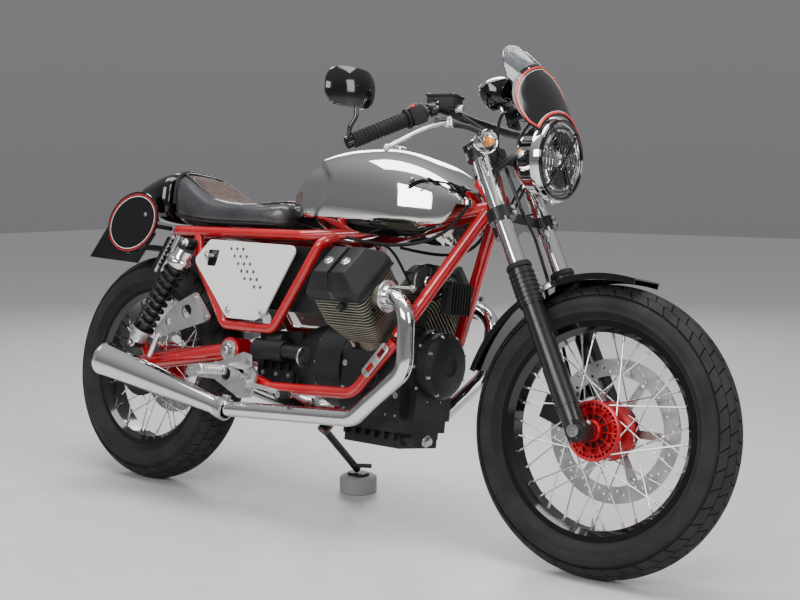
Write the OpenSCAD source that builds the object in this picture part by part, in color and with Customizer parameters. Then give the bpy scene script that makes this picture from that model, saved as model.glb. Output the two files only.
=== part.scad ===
// Cafe racer motorcycle with a transverse V-twin and shaft drive.
// Upright frame: +X forward, +Y to the rider's left, +Z up, origin on the ground midway
// between the axles. parked() leans it onto its side stand and moves it to the part's origin.

/* [Overall] */
// Distance between the two axles
wheelbase = 1449; // [1380:1:1520]
// Angle of lean on the side stand
lean = 9.3; // [6:0.1:12]
// Angle of the steering axis from vertical
rake = 28.5; // [26:0.1:30]

/* [Wheels] */
// Outer radius of the front tyre
front_tyre_r = 318.6; // [310:0.1:326]
// Half the width of the front tyre, and the radius of its crown
front_tyre_hw = 52; // [46:0.5:56]
// Radius of the front bead seat
front_bead_r = 228.6; // [222:0.1:232]
// Outer radius of the rear tyre
rear_tyre_r = 319.9; // [312:0.1:328]
// Half the width of the rear tyre, and the radius of its crown
rear_tyre_hw = 65; // [58:0.5:68]
// Radius of the rear bead seat
rear_bead_r = 215.9; // [210:0.1:222]
// Half the width between the front rim's flanges
front_rim_hw = 27.5; // [24:0.5:32]
// Half the width between the rear rim's flanges
rear_rim_hw = 38; // [32:0.5:42]
// Radius of the front hub's spoke flanges
front_hub_r = 66; // [56:1:74]
// Radius of the rear hub's spoke flanges
rear_hub_r = 72; // [62:1:80]
// Radius of both axles
axle_r = 8.5; // [7:0.5:11]
// Radius of one spoke
spoke_r = 1.7; // [1.4:0.1:2]
// Spokes in each wheel
spokes = 36; // [32:4:40]

/* [Brakes] */
// Radius of the front brake disc
front_disc_r = 160; // [140:1:165]
// Radius of the rear brake disc
rear_disc_r = 130; // [110:1:135]
// Thickness of a brake disc
disc_t = 5; // [4:0.5:6]
// Place of the front disc, left of the middle
front_disc_y = 56; // [54:0.5:58]
// Place of the rear disc, left of the middle
rear_disc_y = 60; // [58:0.5:64]

/* [Fork] */
// Radius of a fork tube
tube_r = 20; // [18:0.5:22]
// Distance of a fork tube from the middle
tube_y = 92.5; // [90:0.5:100]
// Distance of the fork tubes behind the axle, square to the tubes
tube_back = 8; // [4:0.5:14]
// Distance of the steering axis behind the fork tubes
yoke_offset = 48; // [42:0.5:56]
// Height of the lower yoke's underside above the axle, along the fork
lower_yoke_w = 505; // [480:1:520]
// Height of the upper yoke's underside above the axle, along the fork
upper_yoke_w = 668; // [650:1:690]
// Top of the sliders above the axle, along the fork
slider_top_w = 382; // [350:1:400]
// Outer radius of a slider
slider_r = 26; // [24:0.5:28]

/* [Engine] */
// Height of the crankshaft
crank_z = 400; // [385:1:415]
// Place of the right cylinder's axis along the bike
right_cyl_x = 135; // [120:1:165]
// Place of the left cylinder's axis along the bike
left_cyl_x = 106; // [100:1:150]
// Half the length of the cooling fins along the bike
fin_hx = 78; // [70:1:84]
// Half the width of the cooling fins across the bike
fin_hy = 72; // [64:1:78]
// Pitch of the cooling fins
fin_pitch = 8.4; // [7:0.1:9]
// Distance of the rocker cover's face from the crankshaft
cover_d = 345; // [335:1:355]
// Radius of the header pipes
header_r = 20; // [17:0.5:22]
// Radius of the silencer at its end
silencer_r = 46; // [40:1:50]

/* [Body] */
// Height of the tank's highest point
tank_top = 934; // [910:1:950]
// Half the width of the tank
tank_hw = 152; // [135:1:165]
// Half the width of the seat
seat_hw = 122; // [105:1:130]
// Thickness of a side panel
panel_t = 5; // [3:0.5:8]
// Radius of the frame's main tubes
frame_r = 16; // [14:0.5:18]
// Radius of the headlamp's rim
lamp_r = 95; // [85:1:100]
// Thickness of the mudguards
guard_t = 2.5; // [2:0.5:4]

/* [Side stand] */
// Length of the puck under the stand's foot
puck_h = 46; // [35:1:55]
// Radius of that puck
puck_r = 51; // [40:1:60]

/* [Hidden] */
$fn = 48;

// the part's origin, from the upright frame's: under the middle of its box
mirror_at = [250, 388, 1008];
origin_x = (front_tyre_r - rear_tyre_r) / 2;
origin_y = mirror_at.z * sin(lean);
lift = rear_tyre_hw * (1 - cos(lean));

front_x = wheelbase / 2;
rear_x = -wheelbase / 2;
front_z = front_tyre_r;
rear_z = rear_tyre_r;

// running clearance of a shaft in its bore, and the gap kept between bodies
fit = 0.05;
gap = 0.3;
air = 5;
bend_proud = 0.15;

// steering axis, square to the tubes behind the axle
stem_u = -(tube_back + yoke_offset);
stem_r = 14;
yoke_t = 28;
head_gap = 4;

// side stand: pivot on the left rail, and the foot's place on the ground under the lean
stand_pivot = [-140, 84, 222];
foot_ground = [-146, 253, puck_h + gap];
foot = upright(foot_ground);
leg = foot - stand_pivot;
ground_up = [0, -sin(lean), cos(lean)];
// the foot leaves its puck level and slightly rising
stand_axis = unit(cross(leg, unit(cross(ground_up, leg)) + 0.2 * ground_up));

function unit(v) = v / norm(v);
function upright(p) = [p.x, p.y * cos(lean) - (p.z - lift) * sin(lean),
    p.y * sin(lean) + (p.z - lift) * cos(lean)];
// smooth curve through values v at places x, looked up at t
function ease(a, b, t) = a + (b - a) * t;
function spot(x, t, i = 0) = i >= len(x) - 2 || t < x[i + 1] ? i : spot(x, t, i + 1);
function slope(x, v, i) = i == 0 ? (v[1] - v[0]) / (x[1] - x[0])
    : i == len(x) - 1 ? (v[i] - v[i - 1]) / (x[i] - x[i - 1])
    : (v[i + 1] - v[i - 1]) / (x[i + 1] - x[i - 1]);
function hermite(x, v, t) = let (i = spot(x, t), h = x[i + 1] - x[i], s = (t - x[i]) / h)
    v[i] * (1 + 2 * s) * (1 - s) * (1 - s) + h * slope(x, v, i) * s * (1 - s) * (1 - s)
    + v[i + 1] * s * s * (3 - 2 * s) + h * slope(x, v, i + 1) * s * s * (s - 1);
function spread(a, b, n) = [for (i = [0:n]) a + (b - a) * i / n];
// a sine and a cosine raised to a power, with their sign
function pow_s(v, e) = sign(v) * pow(abs(v), e);

module parked() {
    translate([-origin_x, -origin_y, lift]) rotate([-lean, 0, 0]) children();
}
module both() { for (side = [0, 1]) mirror([0, side, 0]) children(); }
// origin at the front axle, +Z up along the fork, +X square to it, forward
module fork_space() { translate([front_x, 0, front_z]) rotate([0, -rake, 0]) children(); }
// origin o, +Z along z, +X along the part of x square to z
module placed(o, z, x = [1, 0, 0]) {
    k = unit(z);
    i = unit(x - (x * k) * k);
    j = cross(k, i);
    multmatrix([[i.x, j.x, k.x, o.x], [i.y, j.y, k.y, o.y], [i.z, j.z, k.z, o.z], [0, 0, 0, 1]])
        children();
}
function across(v) = abs(v.z) > 0.9 * norm(v) ? [1, 0, 0] : [0, 0, 1];
module rod(a, b, r) { placed(a, b - a, across(b - a)) cylinder(h = norm(b - a), r = r); }
module cone(a, b, ra, rb) { placed(a, b - a, across(b - a)) cylinder(h = norm(b - a), r1 = ra, r2 = rb); }
// round bar along points p, its corners bent to radius bend; a bend is a hair thicker and laps
// over the straights, so that no two surfaces run into each other
module tube(p, r, bend) {
    n = len(p) - 1;
    lap = 0.6;
    d = [for (i = [0:n - 1]) unit(p[i + 1] - p[i])];
    turn = [for (i = [0:n]) i == 0 || i == n ? 0 : acos(min(1, d[i - 1] * d[i]))];
    cut = [for (i = [0:n]) i == 0 || i == n ? 0 : bend * tan(turn[i] / 2) - lap];
    over = asin(2 * lap / bend);
    for (i = [0:n - 1]) rod(p[i] + cut[i] * d[i], p[i + 1] - cut[i + 1] * d[i], r);
    for (i = [1:1:n - 1]) {
        z = unit(cross(d[i - 1], d[i]));
        start = p[i] - (cut[i] + lap) * d[i - 1];
        centre = start + bend * cross(z, d[i - 1]);
        placed(centre, z, start - centre) rotate([0, 0, -over])
            rotate_extrude(angle = turn[i] + 2 * over, $fn = 64)
                translate([bend, 0]) circle(r = r + bend_proud);
    }
}
// turned shape about an axis across the bike
module turned(x, z) { translate([x, 0, z]) rotate([-90, 0, 0]) rotate_extrude($fn = 96) children(); }
module drilled(x, z, y0, y1, r) {
    translate([x, y0, z]) rotate([-90, 0, 0]) cylinder(h = y1 - y0, r = r);
}
module round_rect(w, h, r) {
    square([w - 2 * r, h], center = true);
    square([w, h - 2 * r], center = true);
    for (x = [-1, 1], y = [-1, 1]) translate([x * (w / 2 - r), y * (h / 2 - r)]) circle(r = r);
}
// outline through corners p, each corner rounded to radius r
function arc_corner(a, b, c, r, n = 6) = let (u = unit(a - b), v = unit(c - b),
        half = acos(max(-1, min(1, u * v))) / 2, t = r / tan(half),
        m = b + unit(u + v) * r / sin(half), s = b + u * t - m, e = b + v * t - m,
        a0 = atan2(s.y, s.x), a1 = atan2(e.y, e.x),
        da = ((a1 - a0 + 540) % 360) - 180)
    [for (i = [0:n]) m + r * [cos(a0 + da * i / n), sin(a0 + da * i / n)]];
function rounded(p, r) = let (n = len(p))
    [for (i = [0:n - 1]) each arc_corner(p[(i + n - 1) % n], p[i], p[(i + 1) % n], r)];
// plate in the XZ plane between y0 and y1
module plate(p, y0, y1) {
    translate([0, y1, 0]) rotate([90, 0, 0]) linear_extrude(height = y1 - y0) polygon(p);
}
// closed skin through rings of points, each ring with the same count
module skin(rings) {
    n = len(rings[0]);
    m = len(rings);
    polyhedron(points = [for (ring = rings) each ring],
        faces = concat(
            [for (i = [0:m - 2], j = [0:n - 1]) each let (a = i * n + j, b = i * n + (j + 1) % n)
                [[a, b + n, b], [a, a + n, b + n]]],
            [for (j = [1:n - 2]) [0, j, j + 1]],
            [for (j = [1:n - 2]) [(m - 1) * n, (m - 1) * n + j + 1, (m - 1) * n + j]]));
}
// body along x: tops, bottoms and half widths are looked up at every ring
module loft(xs, tops, bottoms, halves, power, rings = 26, around = 36) {
    skin([for (x = spread(xs[0], xs[len(xs) - 1], rings))
        let (t = hermite(xs, tops, x), b = hermite(xs, bottoms, x), w = hermite(xs, halves, x))
        [for (j = [0:around - 1]) let (a = 360 * j / around)
            [x, w * pow_s(cos(a), power), (t + b) / 2 + (t - b) / 2 * pow_s(sin(a), power)]]]);
}

// ---- wheels ----
module tyre(x, z, outer, half, bead, rim_half) {
    turned(x, z) {
        intersection() {
            translate([outer - half, 0]) circle(r = half, $fn = 96);
            translate([bead + 10, -half]) square([outer, 2 * half]);
        }
        translate([bead + 0.6, gap - rim_half]) square([11, 2 * (rim_half - gap)]);
        polygon([[bead + 10.2, -rim_half - 5], [bead + 10.2, rim_half + 5],
            [outer - half, half - 0.2], [outer - half, 0.2 - half]]);
    }
}
module rim(x, z, bead, half) {
    lip = 5;
    turned(x, z) polygon([[bead + 9.5, half + lip], [bead + 9.5, half + 1.5], [bead, half],
        [bead - 1, half - 9], [bead - 11, half - 15], [bead - 11, 15 - half],
        [bead - 1, 9 - half], [bead, -half], [bead + 9.5, -half - 1.5], [bead + 9.5, -half - lip],
        [bead - 3, -half - lip + 1], [bead - 15, 9 - half], [bead - 15, half - 9],
        [bead - 3, half + lip - 1]]);
}
module wheel_spokes(x, z, hub_r, hub_y, bead, rim_y) {
    families = 4;
    twist = 52;
    step = 360 / spokes;
    for (side = [0, 1], lead = [0, 1], k = [0:spokes / families - 1]) {
        at = families * step * k + step * side + 2 * step * lead;
        swing = lead == 0 ? twist : -twist;
        s = side == 0 ? -1 : 1;
        y0 = s * (hub_y + (lead == 0 ? 4 : -4));
        y1 = s * (rim_y + (lead == 0 ? 2.5 : -2.5));
        rod([x + hub_r * cos(at - swing), y0, z + hub_r * sin(at - swing)],
            [x + bead * cos(at), y1, z + bead * sin(at)], spoke_r);
    }
}
module ribs(x, z, count, r0, r1, y0, y1, t) {
    for (k = [0:count - 1]) translate([x, 0, z]) rotate([0, 360 * k / count, 0])
        translate([r0, y0, -t / 2]) cube([r1 - r0, y1 - y0, t]);
}
module front_tyre() { color("#222222") parked()
    tyre(front_x, front_z, front_tyre_r, front_tyre_hw, front_bead_r, front_rim_hw); }
module rear_tyre() { color("#222222") parked()
    tyre(rear_x, rear_z, rear_tyre_r, rear_tyre_hw, rear_bead_r, rear_rim_hw); }
module front_rim() { color("#1a1a1a") parked() rim(front_x, front_z, front_bead_r, front_rim_hw); }
module rear_rim() { color("#1a1a1a") parked() rim(rear_x, rear_z, rear_bead_r, rear_rim_hw); }

flange_t = 5;
spoke_inset = 6;
front_flange_y = 33;
rear_flange_y = 36;
module front_hub() { color("#c01822") parked() {
    difference() {
        turned(front_x, front_z) polygon([[axle_r + fit, -52], [24, -52], [26, -46],
            [40, -front_flange_y - 8], [front_hub_r - 3, -front_flange_y - 8],
            [front_hub_r, -front_flange_y - flange_t], [front_hub_r, 2 - front_flange_y],
            [36, 8 - front_flange_y], [30, 0], [36, front_flange_y - 8],
            [front_hub_r, front_flange_y - 2], [front_hub_r, front_flange_y + flange_t],
            [46, front_flange_y + 8], [40, front_disc_y - disc_t / 2 - gap],
            [axle_r + fit, front_disc_y - disc_t / 2 - gap]]);
        turned(front_x, front_z) translate([30, -60]) square([18, 60 - front_flange_y - 1]);
    }
    ribs(front_x, front_z, 12, 25, 50, -front_flange_y - 8, 1 - front_flange_y, 4);
} }
module rear_hub() { color("#c01822") parked() {
    turned(rear_x, rear_z) polygon([[axle_r + fit, -56], [60, -56], [64, -50],
        [rear_hub_r, -rear_flange_y - flange_t], [rear_hub_r, 2 - rear_flange_y],
        [44, 8 - rear_flange_y], [38, 0], [44, rear_flange_y - 8],
        [rear_hub_r, rear_flange_y - 2], [rear_hub_r, rear_flange_y + flange_t],
        [50, rear_flange_y + 9], [44, rear_disc_y - disc_t / 2 - gap],
        [axle_r + fit, rear_disc_y - disc_t / 2 - gap]]);
} }
module front_spokes() { color("#d0d0d0") parked() wheel_spokes(front_x, front_z,
    front_hub_r - spoke_inset, front_flange_y, front_bead_r - 13, 6); }
module rear_spokes() { color("#d0d0d0") parked() wheel_spokes(rear_x, rear_z,
    rear_hub_r - spoke_inset, rear_flange_y, rear_bead_r - 13, 10); }

module disc(x, z, y, r, inner, hub) {
    difference() {
        drilled(x, z, y - disc_t / 2, y + disc_t / 2, r, $fn = 96);
        drilled(x, z, y - disc_t, y + disc_t, inner, $fn = 96);
        for (k = [0:17], row = [0, 1, 2]) {
            at = 20 * k + 6 * row;
            ring = inner + (r - inner) * (0.25 + 0.25 * row);
            drilled(x + ring * cos(at), z + ring * sin(at), y - disc_t, y + disc_t, 3.5, $fn = 16);
        }
    }
    // carrier on the hub, its arms reach the ring
    difference() {
        union() {
            drilled(x, z, y - disc_t / 2, y + disc_t / 2, hub);
            for (k = [0:5]) translate([x, y, z]) rotate([0, 60 * k, 0])
                translate([0, -disc_t / 2, -9]) cube([inner + 4, disc_t, 18]);
        }
        drilled(x, z, y - disc_t, y + disc_t, hub - 22);
    }
}
module front_disc() { color("silver") parked()
    disc(front_x, front_z, front_disc_y, front_disc_r, front_disc_r - 38, 62); }
module rear_disc() { color("silver") parked()
    disc(rear_x, rear_z, rear_disc_y, rear_disc_r, rear_disc_r - 36, 60); }

// calipers: two halves over the disc's edge, with air each side of the disc
front_caliper_at = 163;
module front_caliper() { color("#303030") parked() {
    slot = disc_t / 2 + air;
    translate([front_x, front_disc_y, front_z]) rotate([0, -front_caliper_at, 0]) difference() {
        union() {
            translate([112, -slot - 13, -44]) cube([66, 2 * slot + 31, 88]);
            for (k = [-1, 1]) translate([140, slot + 17, 20 * k])
                rotate([-90, 0, 0]) cylinder(h = 8, r = 16);
        }
        rotate([90, 0, 0]) translate([0, 0, -slot])
            cylinder(h = 2 * slot, r = front_disc_r + air, $fn = 96);
    }
    // lug to the slider
    fork_space() translate([-76, 70, 96]) cube([41.5, 16, 54]);
} }
rear_caliper_at = 60;
module rear_caliper() { color("#303030") parked() {
    slot = disc_t / 2 + air;
    translate([rear_x, rear_disc_y, rear_z]) rotate([0, -rear_caliper_at, 0]) difference() {
        union() {
            translate([88, -slot - 12, -36]) cube([58, 2 * slot + 28, 72]);
            for (k = [-1, 1]) translate([112, slot + 15, 17 * k])
                rotate([-90, 0, 0]) cylinder(h = 7, r = 14);
        }
        rotate([90, 0, 0]) translate([0, 0, -slot])
            cylinder(h = 2 * slot, r = rear_disc_r + air, $fn = 96);
    }
    // arm from the axle to the caliper, outside the disc
    rod([rear_x + 18, rear_disc_y + 15, rear_z + 18], [rear_x + 50, rear_disc_y + 15, rear_z + 70], 6);
} }

// ---- fork, turning with the steering ----
module fork_tubes() { color("#d8d8dc") parked() fork_space() both()
    translate([-tube_back, tube_y, slider_top_w - 60])
        cylinder(h = upper_yoke_w + yoke_t + 12 - slider_top_w + 60, r = tube_r); }
module fork_sliders() { color("#1c1c1e") parked() fork_space() both() difference() {
    union() {
        translate([-tube_back, tube_y, -18]) cylinder(h = slider_top_w + 18, r = slider_r - 2);
        translate([-tube_back, tube_y, slider_top_w - 86]) cylinder(h = 86, r = slider_r + 1);
        for (k = [0:6]) translate([-tube_back, tube_y, slider_top_w - 80 + 11 * k])
            cylinder(h = 5, r = slider_r + 3);
        translate([0, tube_y - 20, 0]) rotate([-90, 0, 0]) cylinder(h = 42, r = 24);
        translate([-tube_back, tube_y, 60]) cylinder(h = 90, r = slider_r);
    }
    translate([-tube_back, tube_y, slider_top_w - 60]) cylinder(h = 70, r = tube_r + fit);
    translate([0, tube_y - 30, 0]) rotate([-90, 0, 0]) cylinder(h = 70, r = axle_r + fit);
} }
module front_axle() { color("silver") parked() difference() {
    union() {
        drilled(front_x, front_z, -tube_y - 27, tube_y + 27, axle_r);
        drilled(front_x, front_z, tube_y + 24.6, tube_y + 32, 14);
        drilled(front_x, front_z, -tube_y - 32, -tube_y - 24.6, 14);
        // spacers between hub and sliders
        drilled(front_x, front_z, -tube_y + 26.4, -52.3, 13);
        drilled(front_x, front_z, front_disc_y + 5, tube_y - 26.4, 13);
    }
    drilled(front_x, front_z, -tube_y - 40, -tube_y + 20, 4.5);
} }
module yoke(w, t) {
    difference() {
        union() {
            both() translate([-tube_back, tube_y, w]) cylinder(h = t, r = tube_r + 11);
            translate([-tube_back - 20, -tube_y, w]) cube([24, 2 * tube_y, t]);
            translate([stem_u, 0, w]) cylinder(h = t, r = 32);
            translate([stem_u, -24, w]) cube([yoke_offset, 48, t]);
        }
        both() translate([-tube_back, tube_y, w - 1]) cylinder(h = t + 2, r = tube_r + fit);
    }
}
module fork_yokes() { color("#202022") parked() fork_space() {
    yoke(lower_yoke_w, yoke_t);
    yoke(upper_yoke_w, yoke_t - 8);
    translate([stem_u, 0, lower_yoke_w + 1]) cylinder(h = upper_yoke_w - lower_yoke_w + 24, r = stem_r);
    translate([stem_u, 0, upper_yoke_w + yoke_t - 9]) cylinder(h = 14, r = 17, $fn = 6);
} }
guard_r = 337;
module guard(x, z, r, half, from, to) {
    // shallow channel over the tyre
    translate([x, 0, z]) rotate([90, 0, 0]) rotate([0, 0, from])
        rotate_extrude(angle = to - from, $fn = 96) {
            translate([r, -half]) square([guard_t, 2 * half]);
            for (s = [-1, 1]) translate([r - 12, s > 0 ? half - guard_t : -half])
                square([12 + guard_t, guard_t]);
        }
}
module front_mudguard() { color("#161616") parked() {
    guard(front_x, front_z, guard_r, 56, 77, 163);
    // bracket from the sliders over the guard, and its stays
    fork_space() both() {
        translate([-tube_back - 14, 55, 326]) cube([28, 8, 30]);
    }
} }
module headlamp() { color("silver") parked() translate([headlamp_at.x, 0, headlamp_at.z])
    rotate([0, 90, 0]) rotate_extrude($fn = 96) polygon([[0, -108], [30, -104], [58, -88], [78, -60],
            [lamp_r - 6, -22], [lamp_r, -20], [lamp_r, -4], [lamp_r - 5, 0], [lamp_r - 13, 0],
            [lamp_r - 13, -8], [0, -2]]); }
headlamp_at = [553, 0, 912];
// shell over the lamp: its outline is given by the radius about the lamp's axis at each angle,
// and its depth by the height and by how far it is from the middle
screen_at = [27.6, 36, 48, 65, 90];
screen_edge = [108, 148, 179, 205, 225];
clear_at = [56, 66, 78, 90];
clear_edge = [204, 240, 264, 271];
arch_r = 102;
screen_z = [959, 1027, 1090, 1137, 1183];
screen_x = [580, 544, 507, 467, 410];
function edge_at(at, edge, a) = hermite(at, edge, min(a, 180 - a));
function on_screen(r, a, back) = let (y = r * cos(a), z = headlamp_at.z + r * sin(a))
    [hermite(screen_z, screen_x, z) - 0.0034 * y * y - back, y, z];
module strip(from, at, edge, inner, back, t, count) {
    across_n = 7;
    skin([for (i = [0:count]) let (a = from + (180 - 2 * from) * i / count,
            r0 = inner == 0 ? arch_r : edge_at(screen_at, screen_edge, a) - inner,
            r1 = edge_at(at, edge, a))
        concat([for (k = [0:across_n]) on_screen(r0 + (r1 - r0) * k / across_n, a, back)],
            [for (k = [across_n:-1:0]) on_screen(r0 + (r1 - r0) * k / across_n, a, back + t)])]);
}
module fly_screen() { color("#151515") parked() {
    strip(28.4, screen_at, screen_edge, 0, 0, 3, 34);
    strip(56.5, clear_at, clear_edge, 12, 3.5, 3, 16);
} }
gauge_at = [402, 60, 1064];
gauge_up = unit([-0.42, 0, 0.9]);
module gauges() { color("silver") parked() {
    both() placed(gauge_at, gauge_up) rotate_extrude($fn = 72)
        polygon([[0, -46], [22, -42], [34, -30], [40, -10], [41, 12], [39, 14], [36, 14],
            [36, 9], [0, 9]]);
    placed(gauge_at, gauge_up) translate([-10, -70, -20]) cube([20, 20, 10]);
} }
module indicators() { color("white") parked() both() {
    placed([452, 150, 929], [1, 0, 0.05], [0, 0, 1]) rotate_extrude($fn = 48)
        polygon([[0, -30], [14, -27], [24, -14], [27, 2], [26, 10], [18, 19], [0, 23]]);
    rod([440, 134, 926], [419, 116, 922], 6);
} }

// handlebar: low one-piece bar in two clamps on the upper yoke
grip_in = [302, 254, 963];
grip_out = [238, 353, 898];
bar_r = 11;
grip_dir = unit(grip_out - grip_in);
bar_mid = [352, 0, 990];
module bar(r) {
    both() tube([bar_mid, [352, 70, 990], grip_in - 78 * grip_dir, grip_out], r, 40);
}
module handlebar() { color("#8a8a8e") parked() {
    bar(bar_r);
    fork_space() both() difference() {
        translate([-60, 34, upper_yoke_w + yoke_t - 7.9]) cube([36, 30, 44]);
        translate([-60, 30, upper_yoke_w + yoke_t + 60]) cube([36, 40, 20]);
    }
} }
lever_root = [372, 190, 966];
lever_tip = [318, 335, 884];
module hand_controls() { color("#202020") parked() {
    both() {
        difference() {
            union() {
                rod(grip_in, grip_out + 4 * grip_dir, 17);
                rod(grip_in - 44 * grip_dir, grip_in + grip_dir, 25);
            }
            rod(grip_in - 50 * grip_dir, grip_out + gap * grip_dir, bar_r + fit);
        }
        tube([lever_root, [352, 262, 940], lever_tip], 6, 40);
        rod(lever_root + [-2, 1, 0], lever_root + [-28, 12, 0], 10);
    }
    // brake fluid reservoir on the right, hollowed below for the bar
    difference() {
        translate([350, -186, 1006]) rotate([0, 0, 8]) cube([76, 46, 38], center = true);
        rod([347, -130, 998], [330, -236, 995], bar_r + 9);
    }
} }
module mirrors() { color("#141414") parked() both() {
    placed(mirror_at, [1, 0.32, 0.04], [0, 1, 0]) intersection() {
        translate([0, 0, -14]) linear_extrude(height = 34) round_rect(126, 84, 34);
        translate([0, 0, -75]) sphere(r = 92, $fn = 96);
    }
    rod(grip_out + 4.6 * grip_dir, grip_out + 18 * grip_dir, 14);
    tube([mirror_at + [2, -8, -12], mirror_at + [10, -10, -62], grip_out + [10, 30, 22],
        grip_out + 15 * grip_dir + [3, 3, 8]], 5, 14);
} }
module brake_hose() { color("#202020") parked()
    tube([[392, -172, 985], [425, -120, 960], [436, -60, 905], [492, -45, 790], [478, 46, 735],
        [496, 84, 650], [545, 86, 520], [586, 81, 424]], 4, 20); }

// ---- frame ----
rail_y = 122;
head_base_w = lower_yoke_w + yoke_t + head_gap;
head_len = upper_yoke_w - head_gap - head_base_w;
module head_space() { fork_space() translate([stem_u, 0, 0]) children(); }
down_low = [232, 124, 474];
rail_z = 706;
module spine(r) {
    tube([[384, 18, 800], [40, 62, 722], [-120, rail_y - 14, rail_z], [-585, rail_y - 14, rail_z],
        [-668, 40, rail_z - 2]], r, 40);
}
module frame() { color("#c4161c") parked() {
    difference() {
        union() {
            head_space() translate([0, 0, head_base_w]) cylinder(h = head_len, r = 28);
            both() {
                // down tube
                rod([380, 18, 788], down_low, frame_r);
                // spine tube running back to the tail
                spine(frame_r - 2);
                // side triangle under the panel
                tube([[-20, 74, 712], [-40, rail_y, 690], [-168, rail_y + 6, 462],
                    [-345, rail_y + 6, 462], [-472, rail_y, 622], [-500, rail_y - 12, 700]],
                    frame_r - 3, 30);
            }
            // cross tubes
            for (x = [-130, -480]) rod([x, 16 - rail_y, rail_z], [x, rail_y - 16, rail_z], frame_r - 4);
            rod([-666, -42, rail_z], [-666, 42, rail_z], frame_r - 4);
            plate([[345, 866], [336, 850], [362, 826], [392, 826]], -22, 22);
        }
        head_space() translate([0, 0, head_base_w - 1]) cylinder(h = head_len + 2, r = stem_r + fit);
    }
} }
rail_top = [229, 124, 464];
module cradle_rails() { color("#c4161c") parked() {
    both() {
        tube([rail_top, [120, 130, 330], [-150, 130, 316], [-214, 118, 330]], 14, 60);
        // slotted plate bolted over the joint
        placed(ease(rail_top, [120, 130, 330], 0.36) + [0, 11, 0], [0, 1, 0], rail_top - [120, 130, 330])
            linear_extrude(height = 6) difference() {
                round_rect(96, 26, 11);
                for (k = [-1, 1]) translate([24 * k, 0]) round_rect(24, 9, 4);
            }
    }
    // lug and pin for the side stand on the left, and its brace
    placed(stand_pivot + gap * stand_axis, stand_axis) cylinder(h = 12, r = 17);
    rod(stand_pivot - 21 * stand_axis, stand_pivot + 6 * stand_axis, 6);
    rod([-118, 128, 318], stand_pivot + 9 * stand_axis, 9);
} }

// ---- engine ----
module bank(x) { translate([x, 0, crank_z]) rotate([45, 0, 0]) children(); }
fin_first = 128;
fin_t = 3;
fin_count = 18;
module one_cylinder(x) {
    bank(x) {
        translate([0, 0, 96]) cylinder(h = cover_d0 - gap - 96, r = 50);
        for (k = [0:fin_count - 1]) {
            s = min(1, 0.72 + 0.035 * k);
            translate([0, 0, fin_first + fin_pitch * k]) linear_extrude(height = fin_t)
                round_rect(2 * fin_hx * s, 2 * fin_hy * s, 20 * s);
        }
        // exhaust port at the front, inlet at the back
        translate([40, -10, 246]) rotate([0, 90, 0]) cylinder(h = fin_hx - 15, r = 27);
        translate([-40, 0, 246]) rotate([0, -90, 0]) cylinder(h = fin_hx - 39, r = 27);
    }
}
module cylinders() { color("#6d6a5c") parked() {
    one_cylinder(right_cyl_x);
    mirror([0, 1, 0]) one_cylinder(left_cyl_x);
} }
cover_d0 = fin_first + fin_pitch * (fin_count - 1) + fin_t + gap;
module one_cover(x) {
    h = cover_d - cover_d0;
    bank(x) translate([0, 0, cover_d0]) difference() {
        intersection() {
            linear_extrude(height = h) round_rect(2 * fin_hx + 4, 2 * fin_hy + 2, 14);
            rotate([90, 0, 0]) linear_extrude(height = 300, center = true)
                polygon([[-fin_hx - 2, 0], [fin_hx + 2, 0], [fin_hx + 2, 0.3 * h],
                    [0.62 * fin_hx, h], [-0.62 * fin_hx, h], [-fin_hx - 2, 0.3 * h]]);
            rotate([90, 0, 90]) linear_extrude(height = 300, center = true)
                polygon([[-fin_hy - 1, 0], [fin_hy + 1, 0], [fin_hy + 1, 0.5 * h],
                    [0.6 * fin_hy, h], [-0.7 * fin_hy, h], [-fin_hy - 1, 0.42 * h]]);
        }
        translate([-5, -100, h - 8]) cube([10, 200, 20]);
    }
    bank(x) for (k = [-1, 1]) translate([26 * k, -10, cover_d - 6]) cylinder(h = 10, r = 8);
}
module rocker_covers() { color("#2a2b2d") parked() {
    one_cover(right_cyl_x);
    mirror([0, 1, 0]) one_cover(left_cyl_x);
} }
module crankcase() { color("#1b1c1e") parked() {
    // V shaped case, the cylinders stand on its two faces
    difference() {
        rotate([90, 0, 90]) translate([0, 0, 52]) linear_extrude(height = 188)
            polygon([[-94, 282], [94, 282], [102, 330], [102, 412], [106, 434], [66, 492],
                [40, 500], [-40, 500], [-66, 492], [-106, 434], [-102, 412], [-102, 330]]);
        for (s = [0, 1]) mirror([0, s, 0]) bank(s == 0 ? right_cyl_x : left_cyl_x)
            translate([0, 0, 90]) cylinder(h = 200, r = 50 + gap);
    }
    // front cover and alternator cover
    translate([240, 0, 410]) rotate([0, 90, 0]) cylinder(h = 22, r = 92);
    translate([262, 0, 416]) rotate([0, 90, 0]) rotate_extrude($fn = 72)
        polygon([[0, 0], [80, 0], [80, 26], [72, 36], [0, 40]]);
    translate([240, -70, 282]) cube([26, 140, 90]);
    // neck between the cylinders
    translate([70, -27, 499]) cube([130, 54, 48]);
} }
module sump() { color("#1b1c1e") parked() {
    translate([52, -94, 250]) cube([186, 188, 31.8]);
    for (k = [0:5]) translate([66 + 30 * k, -88, 232]) cube([8, 176, 19]);
    translate([60, -74, 212]) cube([172, 148, 40]);
    translate([226, -52, 233]) rotate([0, 90, 0]) cylinder(h = 28, r = 13, $fn = 6);
} }
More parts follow.
